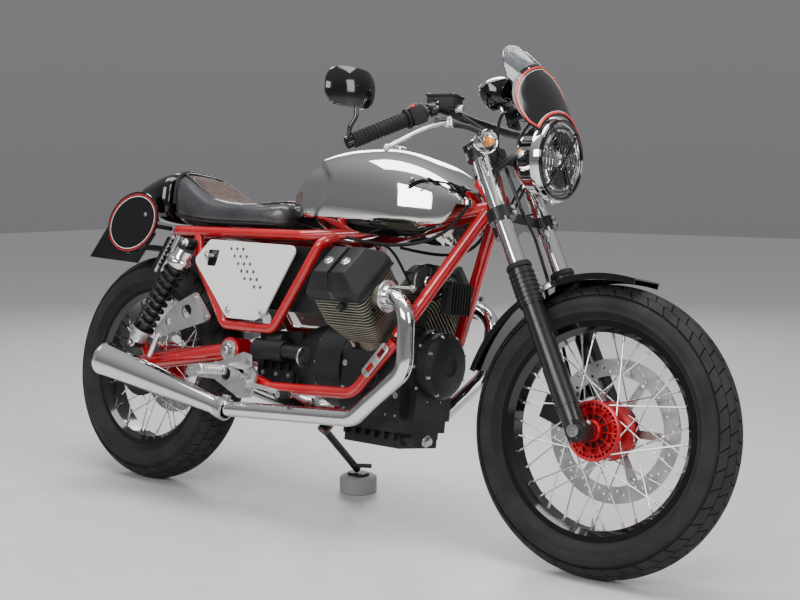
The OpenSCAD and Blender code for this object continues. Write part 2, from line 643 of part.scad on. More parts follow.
module gearbox() { color("#1d1e20") parked() {
    // bell housing behind the crankcase, then the gearbox and its tail
    translate([-30, 0, crank_z - 5]) rotate([0, 90, 0]) cylinder(h = 81.7, r = 112);
    translate([-120, 0, crank_z - 5]) rotate([0, 90, 0]) cylinder(h = 90.5, r1 = 84, r2 = 108);
    translate([-262, -74, 330]) cube([150, 148, 130]);
    translate([-352, -70, 372]) cube([92, 140, 48]);
    translate([-240, -88, 300]) cube([120, 176, 60]);
    for (k = [0:3]) translate([-240 + 30 * k, -82, 340]) cube([7, 164, 100]);
} }
starter_at = [-226, -116, 410];
module starter_motor() { color("#2a2a2c") parked() {
    rod(starter_at, starter_at + [103, 0, 0], 27);
    rod(starter_at + [102, -8, 0], starter_at + [164, -8, 0], 17);
    rod(starter_at - [7, 0, 0], starter_at + [1, 0, 0], 21);
} }
module throttle_bodies() { color("#d8d8d8") parked() {
    for (s = [0, 1]) mirror([0, s, 0]) {
        x = s == 0 ? right_cyl_x : left_cyl_x;
        bank(x) {
            translate([-fin_hx - 12, 0, 246]) rotate([0, 90, 0]) cylinder(h = 10, r = 38);
            translate([-fin_hx - 52, 0, 246]) rotate([0, 90, 0]) cylinder(h = 42, r = 27);
        }
    }
} }
module airbox() { color("#161617") parked() {
    translate([-420, -94, 512]) cube([410, 188, 166]);
    both() rod([-30, 70, 560], [-4, 112, 566], 24);
} }
module horn() { color("#1a1a1a") parked() {
    placed([262, -62, 610], [0.92, -0.38, 0.06], [0, 0, 1]) rotate_extrude($fn = 64)
        polygon([[0, -22], [20, -20], [42, -6], [46, 0], [44, 5], [16, 7], [14, 12], [0, 12]]);
    rod([240, -50, 610], [262, -26, 640], 4);
} }
module regulator() { color("#1a1a1a") parked() {
    translate([288, -42, 540]) cube([14, 84, 78]);
    for (k = [0:7]) translate([301, -40 + 11 * k, 542]) cube([16, 3.5, 74]);
} }

// ---- tank, seat, tail ----
module fuel_tank() { color("#d8dade") parked() difference() {
    loft(xs = [-204, -186, -120, -30, 60, 150, 230, 300, 340, 354],
        tops = [836, 862, 904, 927, tank_top, 930, 906, 868, 836, 814],
        bottoms = [738, 728, 723, 712, 698, 690, 690, 716, 752, 778],
        halves = [78, 92, 118, 140, tank_hw, tank_hw, 138, 106, 76, 60],
        power = 0.62, rings = 34, around = 44);
    // tunnel over the spine tubes, wider where they spread
    plate([[-215, 600], [-215, 724], [-110, 724], [40, 741], [290, 798], [290, 600]], -78, 78);
    plate([[289, 600], [289, 798], [380, 818], [380, 600]], -46, 46);
    for (s = [0, 1]) mirror([0, s, 0])
        plate([[-215, 600], [-215, 724], [-90, 724], [-60, 731], [48, 748], [48, 600]], 77, 126);
} }
module filler_cap() { color("#c8c8cc") parked() translate([70, 0, tank_top - 4]) difference() {
        union() { cylinder(h = 10, r = 36); cylinder(h = 15, r = 29); }
        translate([0, 0, -6]) cylinder(h = 6 + gap + 4, r = 40);
    } }
module seat() { color("#6b4a3a") parked()
    loft(xs = [-646, -630, -585, -530, -470, -400, -300, -225, -208],
        tops = [868, 874, 858, 826, 798, 787, 788, 797, 792],
        bottoms = [754, 738, 728, 724, 724, 724, 724, 724, 730],
        halves = [74, 92, 110, 118, seat_hw, seat_hw, 116, 96, 82],
        power = 0.5, rings = 26, around = 36); }
module tail_cowl() { color("#101010") parked()
    loft(xs = [-860, -846, -800, -730, -665, -648],
        tops = [806, 818, 838, 862, 880, 879],
        bottoms = [776, 762, 744, 732, 728, 730],
        halves = [30, 52, 82, 104, 116, 112],
        power = 0.6, rings = 16, around = 32); }
oval_at = [-727, 718];
module number_plates() { color("#121212") parked() both() {
    translate([oval_at.x, 158, oval_at.y]) rotate([90, -18, 0])
        linear_extrude(height = 4) scale([1.27, 1]) circle(r = 84);
    rod([-650, 80, 712], [-650, 154.2, 712], 6);
} }
module licence_plate_holder() { color("#141414") parked() {
    placed([-952, 0, 668], [-0.8, 0, 0.6], [0, 1, 0]) translate([0, 0, -2])
        cube([180, 118, 4], center = true);
    rod([-944, 0, 684], [-818, 0, 732], 12);
    placed([-900, 0, 730], [-1, 0, 0.1], [0, 1, 0]) cube([90, 34, 26], center = true);
} }
panel_outline = [[-468, 626], [-412, 682], [-92, 676], [-188, 494], [-218, 480], [-322, 480]];
module side_panels() { color("white") parked() both() {
    y0 = rail_y + 20;
    difference() {
        plate(rounded(panel_outline, 16), y0, y0 + panel_t);
        // row of vents, three abreast, slanting down and forward
        for (row = [0:5], k = [0:2]) if (row < 5 || k > 0)
            drilled(-330 + 22 * k + 15 * row, 660 - 19 * row, y0 - 1, y0 + panel_t + 1, 5, $fn = 24);
        plate(rounded([[-420, 612], [-416, 655], [-372, 655], [-384, 612]], 5), y0 - 1, y0 + panel_t + 1);
    }
    for (p = [[-196, 500], [-320, 500], [-420, 640]])
        drilled(p.x, p.y, rail_y + 4, y0 + 0.5, 5);
} }

// ---- exhaust ----
port = [right_cyl_x + fin_hx + 25, -0.7071 * 256, crank_z + 0.7071 * 236];
joint = [-274, -170, 248];
module header(dx) {
    start = port + [dx + gap, 0, 0];
    tube([start + [8, -2.2, 0], [start.x + 72, start.y - 20, start.z], [312 + dx, -184, 400],
        [160, -168, 274], joint], header_r, 62);
    cone(start, start + [12, 0, 0], 29, 25);
}
module exhaust_headers() { color("silver") parked() {
    header(0);
    mirror([0, 1, 0]) header(left_cyl_x - right_cyl_x);
} }
silencer_end = [-728, -200, 333];
module silencers() { color("silver") parked() both() mirror([0, 1, 0]) {
    d = silencer_end - joint;
    placed(joint - 10 * unit(d), d) difference() {
        union() {
            cylinder(h = norm(d) + 10, r1 = header_r + 3, r2 = silencer_r, $fn = 96);
            translate([0, 0, -4]) cylinder(h = 34, r = header_r + 8);
        }
        // sleeve over the header, and the open end
        translate([0, 0, -20]) cylinder(h = 36, r = header_r + 4.6);
        translate([0, 0, norm(d) - 70]) cylinder(h = 100, r1 = silencer_r - 26, r2 = silencer_r - 4);
    }
} }
module silencer_brackets() { color("silver") parked() both() difference() {
    union() {
        plate(rounded([[-438, 540], [-368, 470], [-470, 440], [-578, 402], [-590, 428], [-520, 500]], 12),
            149, 155);
        rod([-572, 154, 416], [-572, 178, 352], 7);
    }
    drilled(-468, 486, 140, 170, 19);
    drilled(-538, 454, 140, 170, 10);
} }
module rearsets() { color("silver") parked() both() {
    y0 = 150;
    difference() {
        plate(rounded([[-445, 318], [-436, 346], [-330, 362], [-236, 392], [-180, 348], [-196, 284],
            [-236, 279], [-330, 318]], 9), y0, y0 + 8);
        drilled(-290, 336, y0 - 1, y0 + 9, 17);
        drilled(-238, 350, y0 - 1, y0 + 9, 12);
    }
    // peg, pedal and its pad
    rod([-300, y0 + 7, 345], [-300, y0 + 92, 345], 11);
    tube([[-210, y0 + 14, 320], [-110, y0 + 18, 312], [-62, y0 + 20, 306]], 6, 30);
    rod([-58, y0 + 8, 306], [-58, y0 + 52, 306], 8);
    rod([-210, y0 + 7, 320], [-210, y0 + 22, 320], 12);
    rod([-250, 112, 372], [-250, y0 + 0.5, 372], 8);
} }

// ---- rear suspension ----
pivot = [-316, 0, 396];
arm_y = 105;
module swingarm() { color("#c4161c") parked() {
    difference() {
        union() {
            both() {
                tube([[pivot.x, arm_y, pivot.z], [-600, arm_y + 2, 346], [rear_x + 34, arm_y + 2, rear_z + 6]],
                    24, 60);
                drilled(pivot.x, pivot.z, 74, 130, 34);
                // lug for the shock
                rod([-652, arm_y, 344], [-656, arm_y + 22, 384], 13);
            }
            rod([-382, -arm_y, 384], [-382, arm_y, 384], 22);
            drilled(rear_x, rear_z, 84, 128, 26);
        }
        drilled(pivot.x, pivot.z, -160, 160, 12);
        drilled(rear_x, rear_z, 70, 140, axle_r + fit);
    }
} }
module final_drive() { color("#3a3a3c") parked() {
    difference() {
        turned(rear_x, rear_z)
            polygon([[0, -62], [84, -62], [86, -72], [64, -104], [40, -124], [0, -128]]);
        drilled(rear_x, rear_z, -140, -50, axle_r + fit);
        both() tube([[pivot.x, arm_y, pivot.z], [-600, arm_y + 2, 346],
            [rear_x + 34, arm_y + 2, rear_z + 6]], 24.3, 60);
    }
} }
module rear_axle() { color("silver") parked() {
    drilled(rear_x, rear_z, -128, 128, axle_r);
    drilled(rear_x, rear_z, -138, -128.3, 14);
    drilled(rear_x, rear_z, 128.3, 138, 14);
    drilled(rear_x, rear_z, rear_disc_y + 5, 83.7, 13);
} }
shock_low = [-656, 160, 386];
shock_top = [-481, 160, 667];
coil_turns = 9;
module coil(length, r, wire) {
    steps = 12;
    skin([for (i = [0:coil_turns * steps]) let (a = 360 * i / steps,
            c = [r * cos(a), r * sin(a), length * i / (coil_turns * steps)],
            out = [cos(a), sin(a), 0])
        [for (j = [0:5]) c + wire * (cos(60 * j) * out + [0, 0, -sin(60 * j)])]]);
}
module shocks() { color("#1a1a1a") parked() both() {
    d = shock_top - shock_low;
    l = norm(d);
    drilled(shock_low.x, shock_low.z, shock_low.y - 20, shock_low.y + 12, 14);
    drilled(shock_top.x, shock_top.z, shock_low.y - 20, shock_low.y + 14, 14);
    placed(shock_low, d, [0, 1, 0]) {
        translate([0, 0, 10]) cylinder(h = 34, r = 22);
        translate([0, 0, 43]) cylinder(h = 10, r = 31);
        translate([0, 0, 52]) cylinder(h = l - 118, r = 19);
        translate([0, 0, l - 66]) cylinder(h = 16, r = 31);
        translate([0, 0, l - 51]) cylinder(h = 42, r = 23);
        translate([0, 0, 58.5]) coil(l - 130, 27, 4.2);
    }
} }
module rear_mudguard() { color("#151515") parked() {
    guard(rear_x, rear_z, 342, 74, 28, 104);
    // alloy struts from the frame down to the guard
    both() rod([-648, 84, 686], [-700, 84, 600], 7);
} }

// ---- side stand ----
module side_stand() { color("#161616") parked() {
    down = unit(leg);
    difference() {
        placed(stand_pivot - (20 + gap) * stand_axis, stand_axis) cylinder(h = 20, r = 16);
        rod(stand_pivot - 24 * stand_axis, stand_pivot + 4 * stand_axis, 6 + fit);
    }
    rod(stand_pivot - 11.5 * stand_axis + 10 * down, foot + [0, 0, 10] - 8 * down, 10);
    translate(foot) rotate([lean, 0, 0]) linear_extrude(height = 8) round_rect(58, 40, 12);
    // foot lever
    rod(foot - 0.2 * leg, foot - 0.2 * leg + [44, 30, 4], 6);
} }
module stand_puck() { color("#8a8a88") translate([foot_ground.x - origin_x, foot_ground.y - origin_y, 0])
    rotate_extrude($fn = 72) polygon([[0, 0], [puck_r - 2, 0], [puck_r, 3], [puck_r, puck_h - 5],
        [puck_r - 5, puck_h], [0, puck_h]]); }

frame();
cradle_rails();
crankcase();
sump();
gearbox();
cylinders();
rocker_covers();
throttle_bodies();
starter_motor();
horn();
regulator();
airbox();
fuel_tank();
filler_cap();
seat();
tail_cowl();
number_plates();
licence_plate_holder();
side_panels();
exhaust_headers();
silencers();
silencer_brackets();
rearsets();
swingarm();
final_drive();
shocks();
rear_mudguard();
rear_axle();
rear_caliper();
side_stand();
stand_puck();
rear_tyre();
rear_rim();
rear_hub();
rear_disc();
rear_spokes();
fork_yokes();
fork_tubes();
fork_sliders();
front_axle();
front_mudguard();
front_caliper();
handlebar();
hand_controls();
mirrors();
headlamp();
fly_screen();
gauges();
indicators();
brake_hose();
front_tyre();
front_rim();
front_hub();
front_disc();
front_spokes();
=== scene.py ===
import math
import bpy
import bmesh
from mathutils import Matrix, Vector


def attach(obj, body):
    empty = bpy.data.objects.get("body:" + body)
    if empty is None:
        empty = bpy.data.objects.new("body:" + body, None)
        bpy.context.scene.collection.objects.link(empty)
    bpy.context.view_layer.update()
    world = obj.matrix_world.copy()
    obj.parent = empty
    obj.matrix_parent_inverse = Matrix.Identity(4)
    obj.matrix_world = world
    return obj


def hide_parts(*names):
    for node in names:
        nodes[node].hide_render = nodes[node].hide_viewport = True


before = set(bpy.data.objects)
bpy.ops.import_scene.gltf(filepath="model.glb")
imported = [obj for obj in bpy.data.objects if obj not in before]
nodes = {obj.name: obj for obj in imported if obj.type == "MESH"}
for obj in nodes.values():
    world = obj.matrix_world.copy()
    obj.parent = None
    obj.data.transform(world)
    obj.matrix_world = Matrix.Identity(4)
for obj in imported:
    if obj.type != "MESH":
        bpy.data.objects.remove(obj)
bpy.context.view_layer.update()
print("frame loaded")

# the bike is modelled upright in millimetres, then leaned onto its stand
park = {"lean": 9.3, "shift": (0.00065, -0.162897, 0.000854), "mm": 0.001}
parked = (Matrix.Translation(park["shift"]) @ Matrix.Rotation(math.radians(-park["lean"]), 4, "X")
          @ Matrix.Scale(park["mm"], 4))
wheelbase = 1449
frontAxle = Vector((wheelbase / 2, 0, 318.6))
rearAxle = Vector((-wheelbase / 2, 0, 319.9))
rake = math.radians(28.5)
banks = ((135, -1), (106, 1))  # place along the bike and side of each cylinder


# shaping
def curveAt(xs, values, x):  # smooth curve through the values
    n = len(xs)
    i = max(0, min(n - 2, next((k for k in range(n - 1) if x < xs[k + 1]), n - 2)))

    def slope(k):
        a, b = max(0, k - 1), min(n - 1, k + 1)
        return (values[b] - values[a]) / (xs[b] - xs[a])
    h = xs[i + 1] - xs[i]
    s = (x - xs[i]) / h
    return (values[i] * (1 + 2 * s) * (1 - s) ** 2 + h * slope(i) * s * (1 - s) ** 2
            + values[i + 1] * s * s * (3 - 2 * s) + h * slope(i + 1) * s * s * (s - 1))


def smooth01(t):
    t = max(0.0, min(1.0, t))
    return t * t * (3 - 2 * t)


def signedPower(v, e):
    return math.copysign(abs(v) ** e, v)


def frameAt(origin, zAxis, xHint=(1, 0, 0)):  # a matrix with +Z along zAxis
    z = Vector(zAxis).normalized()
    x = Vector(xHint)
    if abs(x.normalized().dot(z)) > 0.98:
        x = Vector((0, 0, 1)) if abs(z.z) < 0.9 else Vector((0, 1, 0))
    x = (x - x.dot(z) * z).normalized()
    y = z.cross(x)
    m = Matrix((x, y, z)).transposed().to_4x4()
    m.translation = Vector(origin)
    return m


def forkMatrix():  # +Z up along the fork, +X forward, square to it
    return Matrix.Translation(frontAxle) @ Matrix.Rotation(-rake, 4, "Y")


def bankMatrix(x, side):  # +Z out along a cylinder, side -1 is the right
    tilt = Matrix.Rotation(math.radians(45 if side < 0 else -45), 4, "X")
    return Matrix.Translation((x, 0, 400)) @ tilt


class Part:  # a bmesh that primitives are added to, each with its finish
    def __init__(self):
        self.bm = bmesh.new()
        self.finishNames = []

    def take(self, bm, finish):  # adds a finished primitive
        bmesh.ops.recalc_face_normals(bm, faces=bm.faces)
        if finish:
            if finish not in self.finishNames:
                self.finishNames.append(finish)
            for f in bm.faces:
                f.material_index = self.finishNames.index(finish)
        mesh = bpy.data.meshes.new("primitive")
        bm.to_mesh(mesh)
        bm.free()
        self.bm.from_mesh(mesh)
        bpy.data.meshes.remove(mesh)
        return self

    def cyl(self, a, b, r1, r2=None, seg=24, finish="steel", bevel=0.0):
        a, b = Vector(a), Vector(b)
        bm = bmesh.new()
        bmesh.ops.create_cone(bm, cap_ends=True, segments=seg, radius1=r1, radius2=r1 if r2 is None else r2,
                              depth=(b - a).length, matrix=frameAt((a + b) / 2, b - a))
        if bevel:
            rims = [e for e in bm.edges if any(len(f.verts) > 4 for f in e.link_faces)]
            bmesh.ops.bevel(bm, geom=rims, offset=bevel, segments=2, profile=0.5, affect="EDGES", material=-1)
        return self.take(bm, finish)

    def box(self, m, size, finish="steel", bevel=0.0, taper=(1, 1)):
        bm = bmesh.new()
        bmesh.ops.create_cube(bm, size=1.0)
        for v in bm.verts:
            k = taper if v.co.z > 0 else (1, 1)
            v.co = Vector((v.co.x * size[0] * k[0], v.co.y * size[1] * k[1], v.co.z * size[2]))
        if bevel:
            bmesh.ops.bevel(bm, geom=list(bm.edges), offset=bevel, segments=2, profile=0.5,
                            affect="EDGES", material=-1)
        bmesh.ops.transform(bm, matrix=m, verts=bm.verts)
        return self.take(bm, finish)

    def lathe(self, m, profile, seg=48, finish="steel", close=False):
        bm = bmesh.new()
        made = [bm.verts.new((p[0], 0, p[1])) for p in profile]
        edges = [bm.edges.new((made[i], made[i + 1])) for i in range(len(made) - 1)]
        if close:
            edges.append(bm.edges.new((made[-1], made[0])))
        bmesh.ops.spin(bm, geom=made + edges, cent=(0, 0, 0), axis=(0, 0, 1), angle=math.tau,
                       steps=seg, use_merge=True)
        bmesh.ops.remove_doubles(bm, verts=bm.verts, dist=0.01)
        bmesh.ops.transform(bm, matrix=m, verts=bm.verts)
        return self.take(bm, finish)

    def tube(self, points, r, sides=10, finish="steel", smooth=True):
        curve = bpy.data.curves.new("path", "CURVE")
        curve.dimensions = "3D"
        curve.bevel_depth = r
        curve.bevel_resolution = max(0, sides // 4 - 1)
        curve.use_fill_caps = True
        spline = curve.splines.new("NURBS" if smooth else "POLY")
        spline.points.add(len(points) - 1)
        for p, q in zip(spline.points, points):
            p.co = (*q, 1)
        if smooth:
            spline.order_u = min(4, len(points))
            spline.use_endpoint_u = True
            spline.resolution_u = 8
        holder = bpy.data.objects.new("path", curve)
        mesh = bpy.data.meshes.new_from_object(holder)
        bm = bmesh.new()
        bm.from_mesh(mesh)
        bmesh.ops.remove_doubles(bm, verts=bm.verts, dist=0.01)
        bpy.data.objects.remove(holder)
        bpy.data.curves.remove(curve)
        bpy.data.meshes.remove(mesh)
        return self.take(bm, finish)

    def plate(self, m, outline, thick, finish="alloy", bevel=0.0):
        bm = bmesh.new()
        face = bm.faces.new([bm.verts.new((p[0], p[1], 0)) for p in outline])
        grown = bmesh.ops.extrude_face_region(bm, geom=[face])
        for g in grown["geom"]:
            if isinstance(g, bmesh.types.BMVert):
                g.co.z += thick
        if bevel:
            flat = [e for e in bm.edges if abs(e.verts[0].co.z - e.verts[1].co.z) < 1e-6]
            bmesh.ops.bevel(bm, geom=flat, offset=bevel, segments=2, profile=0.5, affect="EDGES", material=-1)
        bmesh.ops.transform(bm, matrix=m, verts=bm.verts)
        return self.take(bm, finish)

    def bolt(self, at, direction, r=5, h=4, finish="steel", washer=True):
        at, d = Vector(at), Vector(direction).normalized()
        if washer:
            self.cyl(at - d * 0.5, at + d * 1.2, r * 1.55, seg=20, finish=finish)
        self.cyl(at, at + d * h, r * 1.1, r, seg=6, finish=finish)
        return self.cyl(at + d * h * 0.6, at + d * (h + 0.9), r * 0.62, r * 0.5, seg=12, finish=finish)

    def done(self, name, body, slot, replaced=(), angle=38):
        mesh = bpy.data.meshes.new(name)
        bmesh.ops.transform(self.bm, matrix=parked, verts=self.bm.verts)
        self.bm.to_mesh(mesh)
        self.bm.free()
        for f in self.finishNames:
            mesh.materials.append(finishes[f])
        mesh.shade_smooth()
        mesh.set_sharp_from_angle(angle=math.radians(angle))
        obj = bpy.data.objects.new(name, mesh)
        bpy.context.scene.collection.objects.link(obj)
        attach(obj, body)
        if replaced:
            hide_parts(*replaced)
        return obj


# finishes
def makeGrain():  # noise mapped between two values, for roughness and height
    g = bpy.data.node_groups.new("grainNoise", "ShaderNodeTree")
    for name, value in (("Scale", 50.0), ("Detail", 3.0), ("Low", 0.0), ("High", 1.0)):
        s = g.interface.new_socket(name=name, in_out="INPUT", socket_type="NodeSocketFloat")
        s.default_value = value
    g.interface.new_socket(name="Value", in_out="OUTPUT", socket_type="NodeSocketFloat")
    src, out = g.nodes.new("NodeGroupInput"), g.nodes.new("NodeGroupOutput")
    coord, noise = g.nodes.new("ShaderNodeTexCoord"), g.nodes.new("ShaderNodeTexNoise")
    span = g.nodes.new("ShaderNodeMapRange")
    span.inputs["From Min"].default_value = 0.28
    span.inputs["From Max"].default_value = 0.72
    g.links.new(coord.outputs["Object"], noise.inputs["Vector"])
    g.links.new(src.outputs["Scale"], noise.inputs["Scale"])
    g.links.new(src.outputs["Detail"], noise.inputs["Detail"])
    g.links.new(noise.outputs["Fac"], span.inputs["Value"])
    g.links.new(src.outputs["Low"], span.inputs["To Min"])
    g.links.new(src.outputs["High"], span.inputs["To Max"])
    g.links.new(span.outputs["Result"], out.inputs["Value"])
    return g


def makePebble():  # leather cells as a height
    g = bpy.data.node_groups.new("pebble", "ShaderNodeTree")
    s = g.interface.new_socket(name="Scale", in_out="INPUT", socket_type="NodeSocketFloat")
    s.default_value = 500.0
    g.interface.new_socket(name="Value", in_out="OUTPUT", socket_type="NodeSocketFloat")
    src, out = g.nodes.new("NodeGroupInput"), g.nodes.new("NodeGroupOutput")
    coord, cells = g.nodes.new("ShaderNodeTexCoord"), g.nodes.new("ShaderNodeTexVoronoi")
    g.links.new(coord.outputs["Object"], cells.inputs["Vector"])
    g.links.new(src.outputs["Scale"], cells.inputs["Scale"])
    g.links.new(cells.outputs["Distance"], out.inputs["Value"])
    return g


grainGroup = makeGrain()
pebbleGroup = makePebble()


def makeFinish(name, color, second=None, metallic=0.0, rough=(0.3, 0.4), roughScale=30.0, mottle=12.0,
               bump=0.0, bumpScale=900.0, pebble=0.0, coat=0.0, sheen=0.0, glass=0.0, alpha=1.0,
               glow=0.0, gleam=0.5):
    mat = bpy.data.materials.new(name)
    mat.use_nodes = True
    tree = mat.node_tree
    shader = tree.nodes["Principled BSDF"]

    def grain(scale, detail, low, high):
        n = tree.nodes.new("ShaderNodeGroup")
        n.node_tree = grainGroup
        for key, value in (("Scale", scale), ("Detail", detail), ("Low", low), ("High", high)):
            n.inputs[key].default_value = value
        return n.outputs["Value"]
    shader.inputs["Metallic"].default_value = metallic
    shader.inputs["Specular IOR Level"].default_value = gleam
    shader.inputs["Coat Weight"].default_value = coat
    shader.inputs["Coat Roughness"].default_value = 0.04
    shader.inputs["Sheen Weight"].default_value = sheen
    shader.inputs["Transmission Weight"].default_value = glass
    shader.inputs["Alpha"].default_value = alpha
    if glow:
        shader.inputs["Emission Color"].default_value = (*color, 1)
        shader.inputs["Emission Strength"].default_value = glow
    if second:
        mix = tree.nodes.new("ShaderNodeMix")
        mix.data_type = "RGBA"
        mix.inputs["A"].default_value = (*color, 1)
        mix.inputs["B"].default_value = (*second, 1)
        tree.links.new(grain(mottle, 5.0, 0.0, 1.0), mix.inputs["Factor"])
        tree.links.new(mix.outputs["Result"], shader.inputs["Base Color"])
    else:
        shader.inputs["Base Color"].default_value = (*color, 1)
    tree.links.new(grain(roughScale, 4.0, *rough), shader.inputs["Roughness"])
    if bump or pebble:
        node = tree.nodes.new("ShaderNodeBump")
        node.inputs["Strength"].default_value = bump or pebble
        node.inputs["Distance"].default_value = 0.0006
        if pebble:
            cells = tree.nodes.new("ShaderNodeGroup")
            cells.node_tree = pebbleGroup
            cells.inputs["Scale"].default_value = bumpScale
            tree.links.new(cells.outputs["Value"], node.inputs["Height"])
        else:
            tree.links.new(grain(bumpScale, 3.0, 0.0, 1.0), node.inputs["Height"])
        tree.links.new(node.outputs["Normal"], shader.inputs["Normal"])
    return mat


finishValues = {
    "redPaint": dict(color=(0.50, 0.006, 0.012), second=(0.40, 0.004, 0.009), rough=(0.14, 0.24),
                     coat=1.0, bump=0.03, bumpScale=420.0),
    "redAlloy": dict(color=(0.56, 0.008, 0.016), second=(0.36, 0.004, 0.010), metallic=0.35,
                     rough=(0.22, 0.36), bump=0.12, bumpScale=700.0),
    "blackPaint": dict(gleam=0.35, color=(0.008, 0.008, 0.009), second=(0.014, 0.014, 0.015),
                       rough=(0.24, 0.38),
                       bump=0.08, bumpScale=900.0, coat=0.2),
    "blackGloss": dict(color=(0.004, 0.004, 0.005), rough=(0.06, 0.14), coat=0.35),
    "stripeRed": dict(color=(0.72, 0.035, 0.020), rough=(0.2, 0.3), coat=0.5),
    "blackPlastic": dict(gleam=0.22, color=(0.012, 0.012, 0.013), second=(0.022, 0.021, 0.021),
                         rough=(0.48, 0.66),
                         bump=0.25, bumpScale=1500.0),
    "engineBlack": dict(gleam=0.22, color=(0.010, 0.011, 0.012), second=(0.021, 0.021, 0.023),
                        rough=(0.32, 0.48),
                        bump=0.35, bumpScale=1300.0),
    "chrome": dict(color=(0.80, 0.80, 0.80), metallic=1.0, rough=(0.03, 0.075), roughScale=9.0),
    "tankChrome": dict(color=(0.74, 0.73, 0.71), metallic=1.0, rough=(0.025, 0.06), roughScale=6.0),
    "steel": dict(color=(0.62, 0.62, 0.62), second=(0.46, 0.46, 0.46), metallic=1.0, rough=(0.20, 0.36),
                  bump=0.06, bumpScale=1200.0),
    "discSteel": dict(color=(0.56, 0.55, 0.54), second=(0.40, 0.39, 0.38), metallic=1.0,
                      rough=(0.24, 0.44), mottle=25.0, bump=0.12, bumpScale=1600.0),
    "alloy": dict(color=(0.74, 0.74, 0.74), second=(0.60, 0.60, 0.61), metallic=0.9, rough=(0.20, 0.38),
                  bump=0.10, bumpScale=1100.0),
    "castAlloy": dict(color=(0.30, 0.285, 0.23), second=(0.20, 0.19, 0.155), metallic=0.75,
                      rough=(0.36, 0.56), mottle=30.0, bump=0.30, bumpScale=1000.0),
    "tyreRubber": dict(gleam=0.22, color=(0.014, 0.014, 0.015), second=(0.028, 0.027, 0.026),
                       rough=(0.62, 0.82),
                       mottle=16.0, bump=0.35, bumpScale=1500.0),
    "gripRubber": dict(gleam=0.22, color=(0.014, 0.014, 0.014), rough=(0.55, 0.72), bump=0.3,
                       bumpScale=1700.0),
    "suede": dict(color=(0.034, 0.014, 0.009), second=(0.062, 0.028, 0.018), rough=(0.82, 0.98),
                  sheen=0.12, mottle=45.0, bump=0.7, bumpScale=1500.0),
    "leather": dict(color=(0.030, 0.031, 0.034), second=(0.050, 0.050, 0.054), rough=(0.24, 0.40),
                    pebble=0.28, bumpScale=420.0, coat=0.35),
    "whitePaint": dict(color=(0.80, 0.80, 0.785), second=(0.72, 0.72, 0.70), rough=(0.16, 0.28),
                       coat=0.8, bump=0.03, bumpScale=500.0),
    "creamStripe": dict(color=(0.78, 0.76, 0.70), rough=(0.2, 0.3), coat=0.6),
    "puckGrey": dict(color=(0.36, 0.36, 0.35), second=(0.24, 0.24, 0.235), rough=(0.62, 0.85),
                     bump=0.6, bumpScale=500.0),
    "lens": dict(color=(0.95, 0.96, 0.97), rough=(0.02, 0.05), glass=1.0),
    "screenClear": dict(color=(0.80, 0.84, 0.86), rough=(0.03, 0.07), glass=1.0),
    "amber": dict(color=(0.95, 0.30, 0.03), rough=(0.1, 0.2), coat=0.5, glow=0.25),
    "tailRed": dict(color=(0.55, 0.012, 0.010), rough=(0.08, 0.16), coat=1.0),
    "dialFace": dict(color=(0.012, 0.012, 0.013), rough=(0.45, 0.6)),
    "dialWhite": dict(color=(0.80, 0.80, 0.78), rough=(0.4, 0.5)),
    "buttonRed": dict(color=(0.65, 0.02, 0.015), rough=(0.3, 0.4), coat=0.4),
    "cableSheath": dict(color=(0.012, 0.012, 0.013), rough=(0.35, 0.5), bump=0.2, bumpScale=1400.0),
    "paleSheath": dict(color=(0.55, 0.54, 0.50), rough=(0.4, 0.55)),
}
finishes = {key: makeFinish(key, **value) for key, value in finishValues.items()}
print("finishes made")

# the finish of each CAD piece
cadFinish = {
    "redPaint": ["frame", "cradle_rails", "swingarm"],
    "engineBlack": ["crankcase", "sump", "gearbox", "starter_motor", "regulator", "rocker_covers",
                    "final_drive"],
    "castAlloy": ["cylinders"],
    "blackPlastic": ["airbox", "licence_plate_holder", "rear_mudguard", "horn"],
    "blackPaint": ["fork_yokes", "fork_sliders", "side_stand", "rear_caliper", "front_caliper", "shocks",
                   "handlebar", "brake_hose"],
    "blackGloss": ["front_rim", "rear_rim", "front_mudguard", "tail_cowl", "number_plates", "mirrors",
                   "fly_screen"],
    "redAlloy": ["front_hub", "rear_hub"],
    "chrome": ["exhaust_headers", "silencers", "fork_tubes", "headlamp", "gauges", "filler_cap",
               "front_spokes", "rear_spokes"],
    "tankChrome": ["fuel_tank"],
    "steel": ["front_axle", "rear_axle"],
    "discSteel": ["front_disc", "rear_disc"],
    "alloy": ["throttle_bodies", "silencer_brackets", "rearsets"],
    "tyreRubber": ["front_tyre", "rear_tyre"],
    "whitePaint": ["side_panels"],
    "suede": ["seat"],
    "gripRubber": ["hand_controls"],
    "lens": ["indicators"],
    "puckGrey": ["stand_puck"],
}
for finish, names in cadFinish.items():
    for name in names:
        data = nodes[name].data
        data.materials.clear()
        data.materials.append(finishes[finish])
print("CAD pieces painted")


